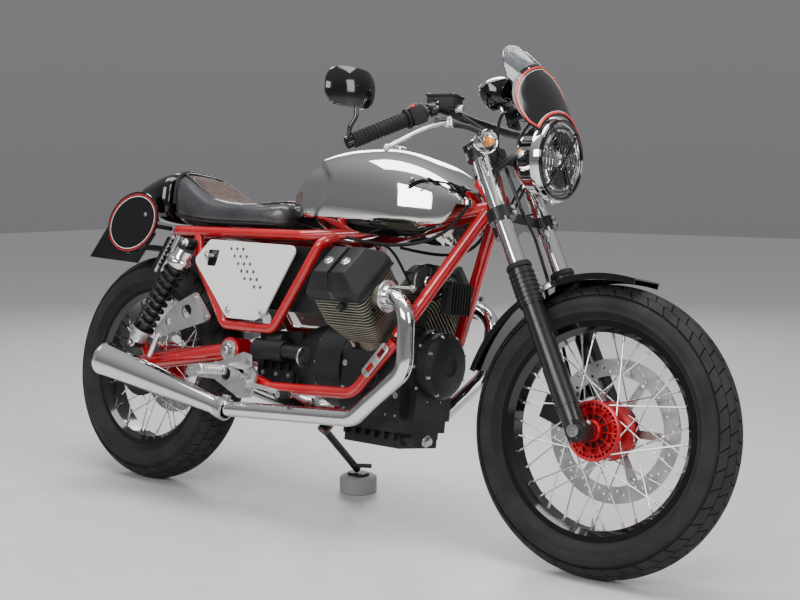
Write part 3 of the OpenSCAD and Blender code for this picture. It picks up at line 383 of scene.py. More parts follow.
# tank, cowl and seat shapes
def bodyShape(spec, around, along, finish, extra=None):
    part, bm = Part(), bmesh.new()
    bmesh.ops.create_uvsphere(bm, u_segments=around, v_segments=along, radius=1.0)
    xs, n = spec["xs"], spec["squareness"]
    for v in bm.verts:
        lat = math.asin(max(-1, min(1, v.co.z)))
        a = math.atan2(v.co.y, v.co.x)
        d = (abs(math.sin(lat)) ** n + abs(math.cos(lat)) ** n) ** (1 / n)
        k = abs(math.cos(lat)) / d
        x = xs[0] + (xs[-1] - xs[0]) * (math.sin(lat) / d + 1) / 2
        top, low = curveAt(xs, spec["tops"], x), curveAt(xs, spec["bottoms"], x)
        half = curveAt(xs, spec["halves"], x)
        e = spec["power"]
        y = half * k * signedPower(math.cos(a), e)
        z = (top + low) / 2 + (top - low) / 2 * k * signedPower(math.sin(a), e)
        v.co = (x, y, z)
        if extra:
            extra(v, top, low, half)
    return part.take(bm, finish)


tank = {
    "xs": (-203, -186, -120, -30, 60, 150, 230, 300, 340, 353),
    "tops": (838, 862, 904, 927, 934, 930, 906, 868, 836, 816),
    "bottoms": (738, 728, 723, 712, 700, 692, 692, 716, 752, 778),
    "halves": (80, 92, 118, 140, 151, 151, 138, 106, 76, 62),
    "power": 0.66, "squareness": 7,
    "knee": ((700, 745, 836, 886, 905, 930), (-96, -70, -6, -52, -92, -150)), "kneeDepth": 0.11,
    "chine": 752, "chineTuck": 44,
    "tunnel": ((-215, -60, 40, 290, 360), (722, 728, 743, 800, 814)), "tunnelHalf": 66,
}


def shapeTank(v, top, low, half):
    x, y, z = v.co
    edge = curveAt(*tank["knee"], min(929, max(701, z)))
    amount = smooth01((edge - x) / 26) * smooth01((912 - z) / 34) * smooth01((x + 206) / 40)
    amount *= smooth01((abs(y) / half - 0.45) / 0.3)
    y *= 1 - tank["kneeDepth"] * amount
    under = (tank["chine"] - z) / (tank["chine"] - low) if low < tank["chine"] else 0
    if under > 0:
        y = math.copysign(max(0, abs(y) - tank["chineTuck"] * under * smooth01((half - 50) / 60)), y)
    if z < (top + low) / 2:
        ceiling = curveAt(*tank["tunnel"], x)
        z = max(z, ceiling - (ceiling - z) * smooth01((abs(y) - tank["tunnelHalf"]) / 22))
    v.co = (x, y, z)


bodyShape(tank, 144, 128, "tankChrome", shapeTank).done("fuelTank", "root", "chrome", ("fuel_tank",),
                                                        angle=50)
trim = Part()
for side in (-1, 1):
    path = []
    for x, z in ((346, 800), (330, 758), (298, 722), (246, 699), (190, 692), (140, 692), (80, 698),
                 (30, 706)):
        half = curveAt(tank["xs"], tank["halves"], x)
        path.append((x, side * (half * 0.70 + 4), z))
    trim.tube(path, 4.2, sides=12, finish="blackPlastic")
trim.done("tankTrim", "root", "black_plastic")

cap = Part()
capBase = Matrix.Translation((70, 0, tank["tops"][4] - 3))
cap.lathe(capBase, [(0, 0), (37, 0), (37, 6), (34, 9), (30, 9), (29, 15), (26, 17), (0, 17.5)], 64, "chrome")
for k in range(8):
    a = math.tau * k / 8
    cap.bolt(capBase @ Vector((33 * math.cos(a), 33 * math.sin(a), 8)), (0, 0, 1), 2, 2, "steel", False)
cap.cyl(capBase @ Vector((0, 0, 16)), capBase @ Vector((0, 0, 19)), 7, 6.5, finish="steel")
cap.done("fillerCap", "root", "chrome", ("filler_cap",))

cowl = {
    "xs": (-859, -846, -800, -730, -665, -649),
    "tops": (806, 818, 838, 862, 880, 880), "bottoms": (776, 762, 744, 732, 728, 730),
    "halves": (34, 52, 82, 104, 115, 112), "power": 0.64, "squareness": 6,
}
bodyShape(cowl, 96, 72, "blackGloss").done("tailCowl", "root", "black_gloss", ("tail_cowl",), angle=50)
print("tank and cowl made")

# seat, a soft good
seatSpec = {
    "voxel": 0.0055, "pressure": 3.5, "frames": 18, "travel": 0.0045, "seamAngle": 58,
    "xs": (-646, -630, -585, -530, -470, -400, -300, -225, -208),
    "tops": (868, 874, 858, 826, 798, 787, 788, 797, 792),
    "bottoms": (754, 738, 728, 724, 724, 724, 724, 724, 730),
    "halves": (74, 92, 110, 118, 122, 122, 116, 96, 82), "power": 0.5,
}


def seatAt(x, angle, proud=0.0):
    top, low = (curveAt(seatSpec["xs"], seatSpec[k], x) for k in ("tops", "bottoms"))
    half = curveAt(seatSpec["xs"], seatSpec["halves"], x)
    a, e = math.radians(angle), seatSpec["power"]
    return Vector((x, (half + proud) * signedPower(math.cos(a), e),
                   (top + low) / 2 + ((top - low) / 2 + proud) * signedPower(math.sin(a), e)))


def makeSeat():
    bm = bmesh.new()
    bm.from_mesh(nodes["seat"].data)
    bmesh.ops.remove_doubles(bm, verts=bm.verts, dist=0.00002)
    mesh = bpy.data.meshes.new("seatCushion")
    bm.to_mesh(mesh)
    bm.free()
    seat = bpy.data.objects.new("seatCushion", mesh)
    bpy.context.scene.collection.objects.link(seat)
    remesh = seat.modifiers.new("voxels", "REMESH")
    remesh.mode = "VOXEL"
    remesh.voxel_size = seatSpec["voxel"]
    relax = seat.modifiers.new("relax", "SMOOTH")
    relax.iterations = 5
    graph = bpy.context.evaluated_depsgraph_get()
    solid = bpy.data.meshes.new_from_object(seat.evaluated_get(graph))
    seat.modifiers.clear()
    seat.data = solid
    rest = [v.co.copy() for v in solid.vertices]
    cloth = seat.modifiers.new("cloth", "CLOTH")
    cloth.settings.quality = 4
    cloth.settings.mass = 0.4
    cloth.settings.use_pressure = True
    cloth.settings.uniform_pressure_force = seatSpec["pressure"]
    cloth.settings.effector_weights.gravity = 0
    cloth.point_cache.frame_start = 1
    cloth.point_cache.frame_end = seatSpec["frames"]
    for at in range(1, seatSpec["frames"] + 1):
        bpy.context.scene.frame_set(at)
    graph = bpy.context.evaluated_depsgraph_get()
    swollen = [v.co.copy() for v in seat.evaluated_get(graph).data.vertices]
    seat.modifiers.clear()
    bpy.context.scene.frame_set(1)
    for v, a, b in zip(solid.vertices, rest, swollen):
        step = b - a
        if step.length > seatSpec["travel"]:
            step *= seatSpec["travel"] / step.length
        v.co = a + step
    upright = parked.inverted()
    solid.materials.clear()
    solid.materials.append(finishes["suede"])
    solid.materials.append(finishes["leather"])
    for f in solid.polygons:
        c = upright @ f.center
        seam = seatAt(max(-645, min(-209, c.x)), seatSpec["seamAngle"])
        onTop = abs(c.y) < seam.y and c.z > seam.z - 22 and -622 < c.x < -222
        f.material_index = 0 if onTop else 1
    solid.shade_smooth()
    soft = seat.modifiers.new("soften", "SUBSURF")
    soft.levels = soft.render_levels = 1
    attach(seat, "root")
    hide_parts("seat")


makeSeat()
seams = Part()
for side in (-1, 1):
    rows = [seatAt(x, seatSpec["seamAngle"], 1.5) for x in range(-622, -221, 16)]
    seams.tube([(p.x, side * p.y, p.z) for p in rows], 2.6, sides=12, finish="leather")
for x in (-622, -222):
    rows = [seatAt(x, a, 1.5) for a in range(seatSpec["seamAngle"], 181 - seatSpec["seamAngle"], 8)]
    seams.tube([tuple(p) for p in rows], 2.6, sides=12, finish="leather")
for off in (-7, 7):  # twin rows of stitches beside the seam
    for side in (-1, 1):
        for x in range(-612, -228, 9):
            a = seatSpec["seamAngle"] + off * 0.45
            p, q = seatAt(x, a, 0.9), seatAt(x + 5, a, 0.9)
            seams.cyl((p.x, side * p.y, p.z), (q.x, side * q.y, q.z), 0.7, seg=6, finish="blackPlastic")
# strap round the seat where the hump meets the cowl, and the band along the bottom
strap = [seatAt(-634, a, 2.5) for a in range(-8, 189, 7)]
seams.tube([tuple(p) for p in strap], 6, sides=12, finish="blackPlastic")
for side in (-1, 1):
    rows = [seatAt(x, -32, 1.5) for x in range(-630, -214, 16)]
    seams.tube([(p.x, side * p.y, p.z) for p in rows], 3.4, sides=12, finish="blackPlastic")
seams.done("seatSeams", "root", "seat_leather")
print("seat made")

# oval plates
oval = {"centre": (-727, 718), "tilt": 18, "long": 106.7, "short": 84, "y": 154, "thick": 4,
        "rings": (("blackGloss", 5), ("redPaint", 3.4), ("blackGloss", 3), ("creamStripe", 2.2))}
plates = Part()
for side in (-1, 1):
    lay = (Matrix.Translation((oval["centre"][0], side * oval["y"], oval["centre"][1]))
           @ Matrix.Rotation(math.radians(-oval["tilt"]), 4, "Y")
           @ Matrix.Rotation(math.radians(90 * -side), 4, "X"))
    bm = bmesh.new()
    bmesh.ops.create_circle(bm, cap_ends=True, segments=96, radius=1.0)
    bmesh.ops.scale(bm, vec=(oval["long"], oval["short"], 1), verts=bm.verts)
    lifted = bmesh.ops.extrude_face_region(bm, geom=list(bm.faces))
    bmesh.ops.translate(bm, vec=(0, 0, oval["thick"]),
                        verts=[g for g in lifted["geom"] if isinstance(g, bmesh.types.BMVert)])
    face = next(g for g in lifted["geom"] if isinstance(g, bmesh.types.BMFace))
    plates.finishNames = ["blackGloss", "redPaint", "creamStripe"]
    for finish, width in oval["rings"]:
        ring = bmesh.ops.inset_region(bm, faces=[face], thickness=width, use_even_offset=True)
        for f in ring["faces"]:
            f.material_index = plates.finishNames.index(finish)
    bmesh.ops.transform(bm, matrix=lay, verts=bm.verts)
    plates.take(bm, None)
    plates.cyl((-650, side * 80, 712), (-650, side * 153, 712), 6, finish="blackPaint")
    plates.bolt(lay @ Vector((58, 6, oval["thick"])), (0, side, 0), 4, 3, "steel")
plates.done("numberPlates", "root", "black_gloss", ("number_plates",))
print("plates made")


# wheels
def acrossWheel(centre):  # +Z of a lathe along the axle, to the left
    return Matrix.Translation(centre) @ Matrix.Rotation(math.radians(-90), 4, "X")


tyres = {
    "front": {"centre": frontAxle, "outer": 318.6, "half": 52, "bead": 228.6, "rim": 27.5, "count": 46,
              "rows": ((-58, -37), (-35.5, -13), (-11.5, 11.5), (13, 35.5), (37, 58)), "lean": 5.5},
    "rear": {"centre": rearAxle, "outer": 319.9, "half": 65, "bead": 215.9, "rim": 38, "count": 44,
             "rows": ((-56, -37), (-35.5, -13), (-11.5, 11.5), (13, 35.5), (37, 56)), "lean": 5.5},
}

tread = {"depth": 5.0, "shoulder": 60, "centreBow": 1.4, "blockHalf": 0.455, "footHalf": 0.475}


def makeTyre(which, body):
    spec = tyres[which]
    lay = acrossWheel(spec["centre"])
    crown = spec["outer"] - spec["half"]
    half, bead, rim = spec["half"], spec["bead"], spec["rim"]
    depth, shoulder = tread["depth"], tread["shoulder"]
    part = Part()
    side = [(bead + 1, rim - 1), (bead + 9, rim + 3), (bead + 12, rim + 6), (bead + 14, rim + 6.2),
            (crown - 12, half - 2.6), (crown - 10, half - 1.4), (crown - 7,
                                                                 half - 1.4), (crown - 5, half - 2.2),
            (crown + 3, half - 0.8)]
    arc = []
    for k in range(0, 13):
        a = math.radians(82 - 82 * k / 12)
        r = half - depth * smooth01((shoulder + 6 - math.degrees(a)) / 6)
        arc.append((crown + r * math.cos(a), r * math.sin(a)))
    left = side + arc
    profile = left + [(r, -y) for r, y in reversed(left[:-1])]
    part.lathe(lay, profile, 144, "tyreRubber", close=True)
    bm = bmesh.new()
    for k in range(spec["count"]):
        base = 360 * k / spec["count"]
        pitch = 360 / spec["count"]
        for row, (p0, p1) in enumerate(spec["rows"]):
            made = bmesh.ops.create_grid(bm, x_segments=4, y_segments=3, size=1.0)
            faces = list({f for v in made["verts"] for f in v.link_faces})
            lifted = bmesh.ops.extrude_face_region(bm, geom=faces)
            low = [g for g in lifted["geom"] if isinstance(g, bmesh.types.BMVert)]
            for v in low:
                v.co.z = -1
            stagger = pitch / 2 if row in (1, 3) else 0
            for v in made["verts"] + low:
                u, w, deep = (v.co.x + 1) / 2, v.co.y, v.co.z < -0.5
                phi = math.radians(p0 + (p1 - p0) * u + (1.0 if deep else 0) * (0.5 - u))
                bow = spec["lean"] * (abs(math.degrees(phi)) / 58) ** 1.5
                if row == 2:
                    bow = tread["centreBow"] * math.cos(math.pi * (u - 0.5))
                reach = tread["footHalf"] if deep else tread["blockHalf"]
                theta = math.radians(base + stagger + bow + w * pitch * reach)
                r = half - (depth + 1.0 if deep else 0.0)
                rad = crown + r * math.cos(phi)
                v.co = lay @ Vector((rad * math.cos(theta), rad * math.sin(theta), r * math.sin(phi)))
    part.take(bm, "tyreRubber")
    for y in (-1, 1):  # fine rings on the sidewall
        for r, w in ((bead + 22, 0.8), (bead + 26, 0.8)):
            t = (r - bead - 14) / (crown - 12 - bead - 14)
            part.lathe(lay, [(r - w, y * (rim + 6 + (half - 2.6 - rim - 6) * t - 0.6)),
                             (r, y * (rim + 6.9 + (half - 2.6 - rim - 6) * t)),
                             (r + w, y * (rim + 6 + (half - 2.6 - rim - 6) * t - 0.6))], 96, "tyreRubber")
    part.done(which + "Tyre", body, "tyre_rubber", (which + "_tyre",), angle=32)


makeTyre("front", "front_wheel")
makeTyre("rear", "rear_wheel")
print("tyres made")

spokes = {"count": 36, "families": 4, "twist": 52}


def makeNipples(name, centre, hubR, hubY, rimR, rimY, body):
    part = Part()
    step = 360 / spokes["count"]
    for side in (0, 1):
        for lead in (0, 1):
            for k in range(spokes["count"] // spokes["families"]):
                at = math.radians(spokes["families"] * step * k + step * side + 2 * step * lead)
                swing = math.radians(spokes["twist"] if lead == 0 else -spokes["twist"])
                s = -1 if side == 0 else 1
                y0 = s * (hubY + (4 if lead == 0 else -4))
                y1 = s * (rimY + (2.5 if lead == 0 else -2.5))
                a = centre + Vector((hubR * math.cos(at - swing), y0, hubR * math.sin(at - swing)))
                b = centre + Vector((rimR * math.cos(at), y1, rimR * math.sin(at)))
                d = (a - b).normalized()
                part.cyl(b, b + d * 15, 3.4, 3.0, seg=10, finish="steel")
                part.cyl(b + d * 15, b + d * 18, 3.0, 2.0, seg=10, finish="steel")
                e = Vector((0, 1 if y0 * s > hubY else -1, 0)) * s
                part.cyl(a - e * 2.4, a + e * 2.4, 3.2, 2.6, seg=10, finish="steel")
    part.done(name, body, "steel")


makeNipples("frontNipples", frontAxle, 60, 33, 215.6, 6, "front_wheel")
makeNipples("rearNipples", rearAxle, 66, 36, 202.9, 10, "rear_wheel")


def makeHub(name, centre, flangeR, flangeY, endRight, endLeft, body, node):
    part = Part()
    lay = acrossWheel(centre)
    f, y = flangeR, flangeY
    profile = [(9.2, -endRight), (22, -endRight), (23.5, -endRight + 2), (24, -y + 2), (34, -y + 3),
               (f - 7, -y + 2),
               (f - 7, -y - 7), (f - 5, -y - 8), (f - 1, -y - 7), (f, -y - 5), (f, -y + 1.5), (f - 3, -y + 4),
               (40, -y + 10), (32, -8), (32, 8), (40, y - 10), (f - 3, y - 4), (f, y - 1.5), (f, y + 4),
               (f - 2, y + 6), (48, y + 8), (44, endLeft), (9.2, endLeft)]
    part.lathe(lay, profile, 96, "redAlloy", close=True)
    for k in range(12):
        a = math.tau * k / 12
        turn = lay @ Matrix.Rotation(a, 4, "Z")
        part.box(turn @ Matrix.Translation(((24 + f - 8) / 2, 0, -y - 2.2)), (f - 32, 3.2, 10), "redAlloy",
                 0.6)
        for s in (-1, 1):  # each rib forks towards the rim
            fork = turn @ Matrix.Translation((f - 14, s * 6.5, -y - 2.2)) @ Matrix.Rotation(s * 0.7, 4, "Z")
            part.box(fork, (17, 2.6, 9), "redAlloy", 0.5)
    for r in (38, 52):
        part.lathe(lay, [(r - 1.6, -y + 2), (r - 1.6, -y - 6.5), (r + 1.6, -y - 6.5), (r + 1.6, -y + 2)], 72,
                   "redAlloy")
    part.lathe(lay, [(26, -y + 1.4), (26, -y - 1), (34, -y - 1), (34, -y + 1.4)], 64, "blackPaint")
    part.done(name, body, "red_paint", (node,), angle=35)


makeHub("frontHub", frontAxle, 66, 33, 52, 53.1, "front_wheel", "front_hub")
makeHub("rearHub", rearAxle, 72, 36, 56, 57.1, "rear_wheel", "rear_hub")
bobbins = Part()
for k in range(6):
    a = math.tau * k / 6
    for r, y0, y1, rr in ((118, 52, 60, 7), (40, 56, 61, 5)):
        p = frontAxle + Vector((r * math.cos(a), 0, r * math.sin(a)))
        bobbins.cyl(p + Vector((0, y0, 0)), p + Vector((0, y1, 0)), rr, seg=20, finish="steel", bevel=0.8)
bobbins.done("frontDiscButtons", "front_wheel", "steel")
rearButtons = Part()
for k in range(6):
    a = math.tau * k / 6 + 0.2
    p = rearAxle + Vector((46 * math.cos(a), 62.6, 46 * math.sin(a)))
    rearButtons.bolt(p, (0, 1, 0), 4, 3, "steel")
rearButtons.done("rearDiscBolts", "rear_wheel", "steel")
valves = Part()
valves.cyl(frontAxle + Vector((0, 0, -216)), frontAxle + Vector((0, 0, -190)), 2.6, 2.2, seg=12,
           finish="steel")
valves.done("frontValve", "front_wheel", "steel")
print("wheels made")


# engine detail
def hullOf(part, m, points, finish, bevel):
    bm = bmesh.new()
    made = [bm.verts.new(p) for p in points]
    bmesh.ops.convex_hull(bm, input=made)
    bmesh.ops.dissolve_limit(bm, angle_limit=0.02, verts=bm.verts, edges=bm.edges)
    if bevel:
        bmesh.ops.bevel(bm, geom=list(bm.edges), offset=bevel, segments=3, profile=0.5,
                        affect="EDGES", material=-1)
    bmesh.ops.transform(bm, matrix=m, verts=bm.verts)
    return part.take(bm, finish)


cover = {"base": 274.1, "height": 70.9, "halfX": 80, "halfY": 73, "topX": 48, "topUp": 43, "topDown": 50,
         "groove": 6, "grooveDepth": 9, "boltX": 26, "boltY": -10, "bevel": 3.5}
coverPart = Part()
for cylX, side in banks:
    lay = bankMatrix(cylX, side) @ Matrix.Translation((0, 0, cover["base"]))
    up = 1 if side < 0 else -1  # the bank's own +Y points up on the right, down on the left
    h, hx, hy = cover["height"], cover["halfX"], cover["halfY"]

    def corners(x0, x1, top):
        pts = [(x, y, 0) for x in (x0, x1) for y in (-hy, hy)]
        for x in (x0, x1):
            low = 0.3 if abs(x) > 70 else 0.5
            pts += [(x, hy * up, low * h), (x, -hy * up, min(low, 0.42) * h)]
        slope = (abs(x1) - cover["topX"]) / 0.7 if abs(x1) > 70 else 0
        if slope:
            s = math.copysign(1, x1)
            pts += [(s * (abs(x1) - slope * 0.2), hy * up, 0.5 * h),
                    (s * (abs(x1) - slope * 0.12), -hy * up, 0.42 * h)]
            x1 = s * cover["topX"]
        pts += [(x, cover["topUp"] * up, top) for x in (x0, x1)] + [(x, -cover["topDown"] * up,
                                                                     top) for x in (x0, x1)]
        return pts
    for s in (-1, 1):
        hullOf(coverPart, lay, corners(s * cover["groove"], s * hx, h), "engineBlack", cover["bevel"])
    hullOf(coverPart, lay, corners(-cover["groove"] - 1, cover["groove"] + 1, h - cover["grooveDepth"]),
           "blackPaint", 0)
    coverPart.box(lay @ Matrix.Translation((0, 0, 3)), (2 * hx + 3, 2 * hy + 3, 6), "engineBlack", 2)
    for s in (-1, 1):
        at = lay @ Vector((s * cover["boltX"], cover["boltY"] * up, h - 3))
        out = (lay @ Vector((0, 0, 1)) - lay @ Vector((0, 0, 0)))
        coverPart.cyl(at, at + out * 5, 12.5, seg=32, finish="chrome", bevel=1.2)
        coverPart.cyl(at + out * 4, at + out * 10, 8.6, 7.6, seg=32, finish="chrome", bevel=1.2)
        coverPart.cyl(at + out * 8, at + out * 10.6, 3.6, seg=6, finish="blackPaint")
coverPart.done("rockerCovers", "root", "engine_black", ("rocker_covers",), angle=30)

engine = Part()
for cylX, side in banks:
    lay = bankMatrix(cylX, side)
    up = 1 if side < 0 else -1
    for s in (-1, 1):
        for y in (-1, 1):  # nuts of the cylinder studs, between fin stack and case
            a, b = lay @ Vector((s * 47, y * 42, 104)), lay @ Vector((s * 47, y * 42, 127))
            engine.cyl(a, b, 6.5, seg=16, finish="steel")
        for y in (-52, 52):  # head bolts on the flat face at the front
            at = lay @ Vector((79, y, 232))
            engine.bolt(at, (1, 0, 0), 4.5, 4)
    flange = lay @ Vector((147, -10 * up, 246))
    for s in (-1, 1):
        off = Vector((0, s * 33 * math.cos(math.radians(45)),
                      s * 33 * math.sin(math.radians(45)) * side * -1))
        engine.cyl(flange + off + Vector((-44, 0, 0)), flange + off + Vector((14, 0, 0)), 4, seg=16,
                   finish="steel")
        engine.bolt(flange + off + Vector((9, 0, 0)), (1, 0, 0), 6, 7, "steel")
    plug = lay @ Vector((18, 62 * -up, 262))
    out = (lay @ Vector((0.25, -up, 0.25)) - lay @ Vector((0, 0, 0))).normalized()
    engine.cyl(plug, plug + out * 32, 11, 9, seg=24, finish="blackPlastic", bevel=2)
    cap = plug + out * 32
    engine.tube([cap, cap + out * 30, (cylX - 40, side * 110, 560), (60, side * 70, 690),
                 (20, side * 50, 706)],
                3.6, sides=10, finish="cableSheath")
# alternator cover: ring of screws, finned rim and the boss in the middle
front = Vector((262, 0, 416))
toFront = Matrix.Translation(front) @ Matrix.Rotation(math.radians(90), 4, "Y")
engine.lathe(toFront, [(0, 40), (20, 40.5), (24, 44), (62, 41), (70, 37), (72, 34), (60, 32), (0, 32)], 64,
             "engineBlack")
for k in range(8):
    a = math.tau * (k + 0.5) / 8
    engine.bolt(front + Vector((30, 74 * math.cos(a), 74 * math.sin(a))), (1, 0, 0), 3.4, 6, "steel")
for k in range(10):
    a = math.tau * k / 10
    engine.bolt(Vector((262, 86 * math.cos(a), 410 + 86 * math.sin(a))), (1, 0, 0), 3.4, 4, "steel")
for side in (-1, 1):
    for x in (66, 110, 154, 198, 228):  # sump flange
        engine.bolt((x, side * 93, 290), (0, side, 0), 3.6, 4, "steel")
    for x, z in ((62, 338), (62, 400), (228, 338), (228, 402)):
        engine.bolt((x, side * 102, z), (0, side, 0), 5, 5, "steel")
    for x, z in ((-226, 352), (-180, 352), (-136, 352), (-226, 312), (-180, 312), (-136, 312)):
        engine.bolt((x, side * 88, z - 3), (0, side, 0), 3.8, 4, "steel")
    engine.cyl((146, side * 101, 372), (146, side * 106, 372), 24, 22, seg=40, finish="engineBlack",
               bevel=1.5)
    engine.cyl((146, side * 105, 372), (146, side * 108, 372), 8, seg=6, finish="steel")
for k in range(12):
    a = math.tau * k / 12
    at = Vector((-30, 106 * math.cos(a), 395 + 106 * math.sin(a)))
    if at.z > 330:
        engine.bolt(at, (-1, 0, 0), 4, 4, "steel")
engine.cyl((-63, -119, 402), (-57, -119, 402), 26, seg=40, finish="steel", bevel=1)
engine.cyl((-234, -116, 410), (-230, -116, 410), 19, 21, seg=36, finish="alloy", bevel=1)
engine.cyl((-240, -116, 410), (-234, -116, 410), 9, seg=24, finish="alloy", bevel=1)
for a in (0.9, 4.0):
    engine.bolt((-233, -116 + 15 * math.cos(a), 410 + 15 * math.sin(a)), (-1, 0, 0), 2.6, 3, "steel", False)
engine.cyl((-190, -116, 436), (-140, -112, 440), 14, seg=28, finish="engineBlack", bevel=2)
engine.cyl((252, 0, 233), (258, 0, 233), 15, seg=40, finish="steel", bevel=1)
engine.cyl((257, 0, 233), (267, 0, 233), 11, seg=6, finish="steel", bevel=1)
engine.done("engineFasteners", "root", "steel")

# horn face
horn = Part()
hornLay = frameAt((262, -62, 610), (0.92, -0.38, 0.06), (0, 0, 1))
horn.lathe(hornLay, [(0, 12.5), (15, 12.5), (17, 10), (17, 6.5), (0, 6.5)], 48, "steel")
horn.lathe(hornLay, [(38, 4), (40, 6.4), (44, 6), (45, 3), (41, 2.5)], 64, "blackGloss", close=True)
for k in range(16):
    a = math.tau * k / 16
    p, q = (hornLay @ Vector((r * math.cos(a), r * math.sin(a), 6.6)) for r in (20, 35))
    horn.cyl(p, q, 1.1, seg=8, finish="blackPaint")
horn.done("hornFace", "root", "black_paint")
print("engine detail made")

# exhaust, suspension and frame detail
pipes = Part()
joint, silencerEnd = Vector((-274, -170, 248)), Vector((-728, -200, 333))
for cylX, side in banks:
    def at(p):
        return Vector((p.x, p.y * -side, p.z))
    full = (silencerEnd - joint).length
    lay = frameAt(at(joint), at(silencerEnd) - at(joint), (0, 0, 1))
    pipes.lathe(lay, [(28.6, -13), (30, -12), (30, 8), (28.6, 9)], 64, "steel")
    pipes.box(lay @ Matrix.Translation((32, 0, -2)), (9, 16, 18), "steel", 1.5)
    pipes.cyl(lay @ Vector((33, -14, -2)), lay @ Vector((33, 14, -2)), 3.2, seg=16, finish="steel")
    pipes.lathe(lay, [(45.2, full - 8), (46.6, full - 7), (47, full - 2), (46, full + 1.2), (43, full + 1.4),
                      (41.6, full - 2)], 72, "chrome")
    pipes.lathe(lay, [(40, full - 60), (40, full - 59), (12, full - 58), (12, full - 20), (10.5, full - 20),
                      (10.5, full - 62)], 48, "blackPaint")
    start = bankMatrix(cylX, side) @ Vector((109, 10 * side, 246))
    pipes.cyl(start + Vector((-8, 0, 0)), start + Vector((-2, 0, 0)), 38, seg=40, finish="alloy", bevel=1)
pipes.done("exhaustTrim", "root", "chrome")

shockTrim = Part()
low, top = Vector((-656, 160, 386)), Vector((-481, 160, 667))
for side in (-1, 1):
    a, b = Vector((low.x, low.y * side, low.z)), Vector((top.x, top.y * side, top.z))
    d = (b - a).normalized()
    lay = frameAt(a, d, (0, 1, 0))
    ln = (b - a).length
    shockTrim.lathe(lay, [(31.6, ln - 68), (33, ln - 66), (33, ln - 52), (30, ln - 48), (24.5, ln - 40),
                          (24, ln - 20), (20, ln - 14), (0, ln - 13)], 56, "chrome")
    shockTrim.lathe(lay, [(23, 12), (24, 14), (24, 38), (32, 43), (32.5, 52), (20, 53)], 56, "alloy")
    for end in (a, b):
        out = Vector((0, side, 0))
        shockTrim.cyl(end + out * 10, end + out * 15, 13, 12, seg=32, finish="alloy", bevel=1)
        shockTrim.cyl(end + out * 14, end + out * 21, 9.5, 9, seg=6, finish="chrome")
        shockTrim.cyl(end + out * 20, end + out * 24, 6, 4, seg=20, finish="chrome")
    # alloy struts behind the shock, from the frame down to the guard
    for dx in (0, 26):
        shockTrim.cyl((-628 + dx, side * 86, 694), (-692 + dx, side * 84, 590), 6.4, seg=20, finish="alloy",
                      bevel=1)
    for k in range(7):
        t = 0.16 + 0.11 * k
        c = Vector((-615 - 64 * t, side * 93, 694 - 104 * t))
        shockTrim.cyl(c, c + Vector((0, side * 1.6, 0)), 4.6, seg=16, finish="blackPaint")
shockTrim.done("shockTrim", "root", "chrome")

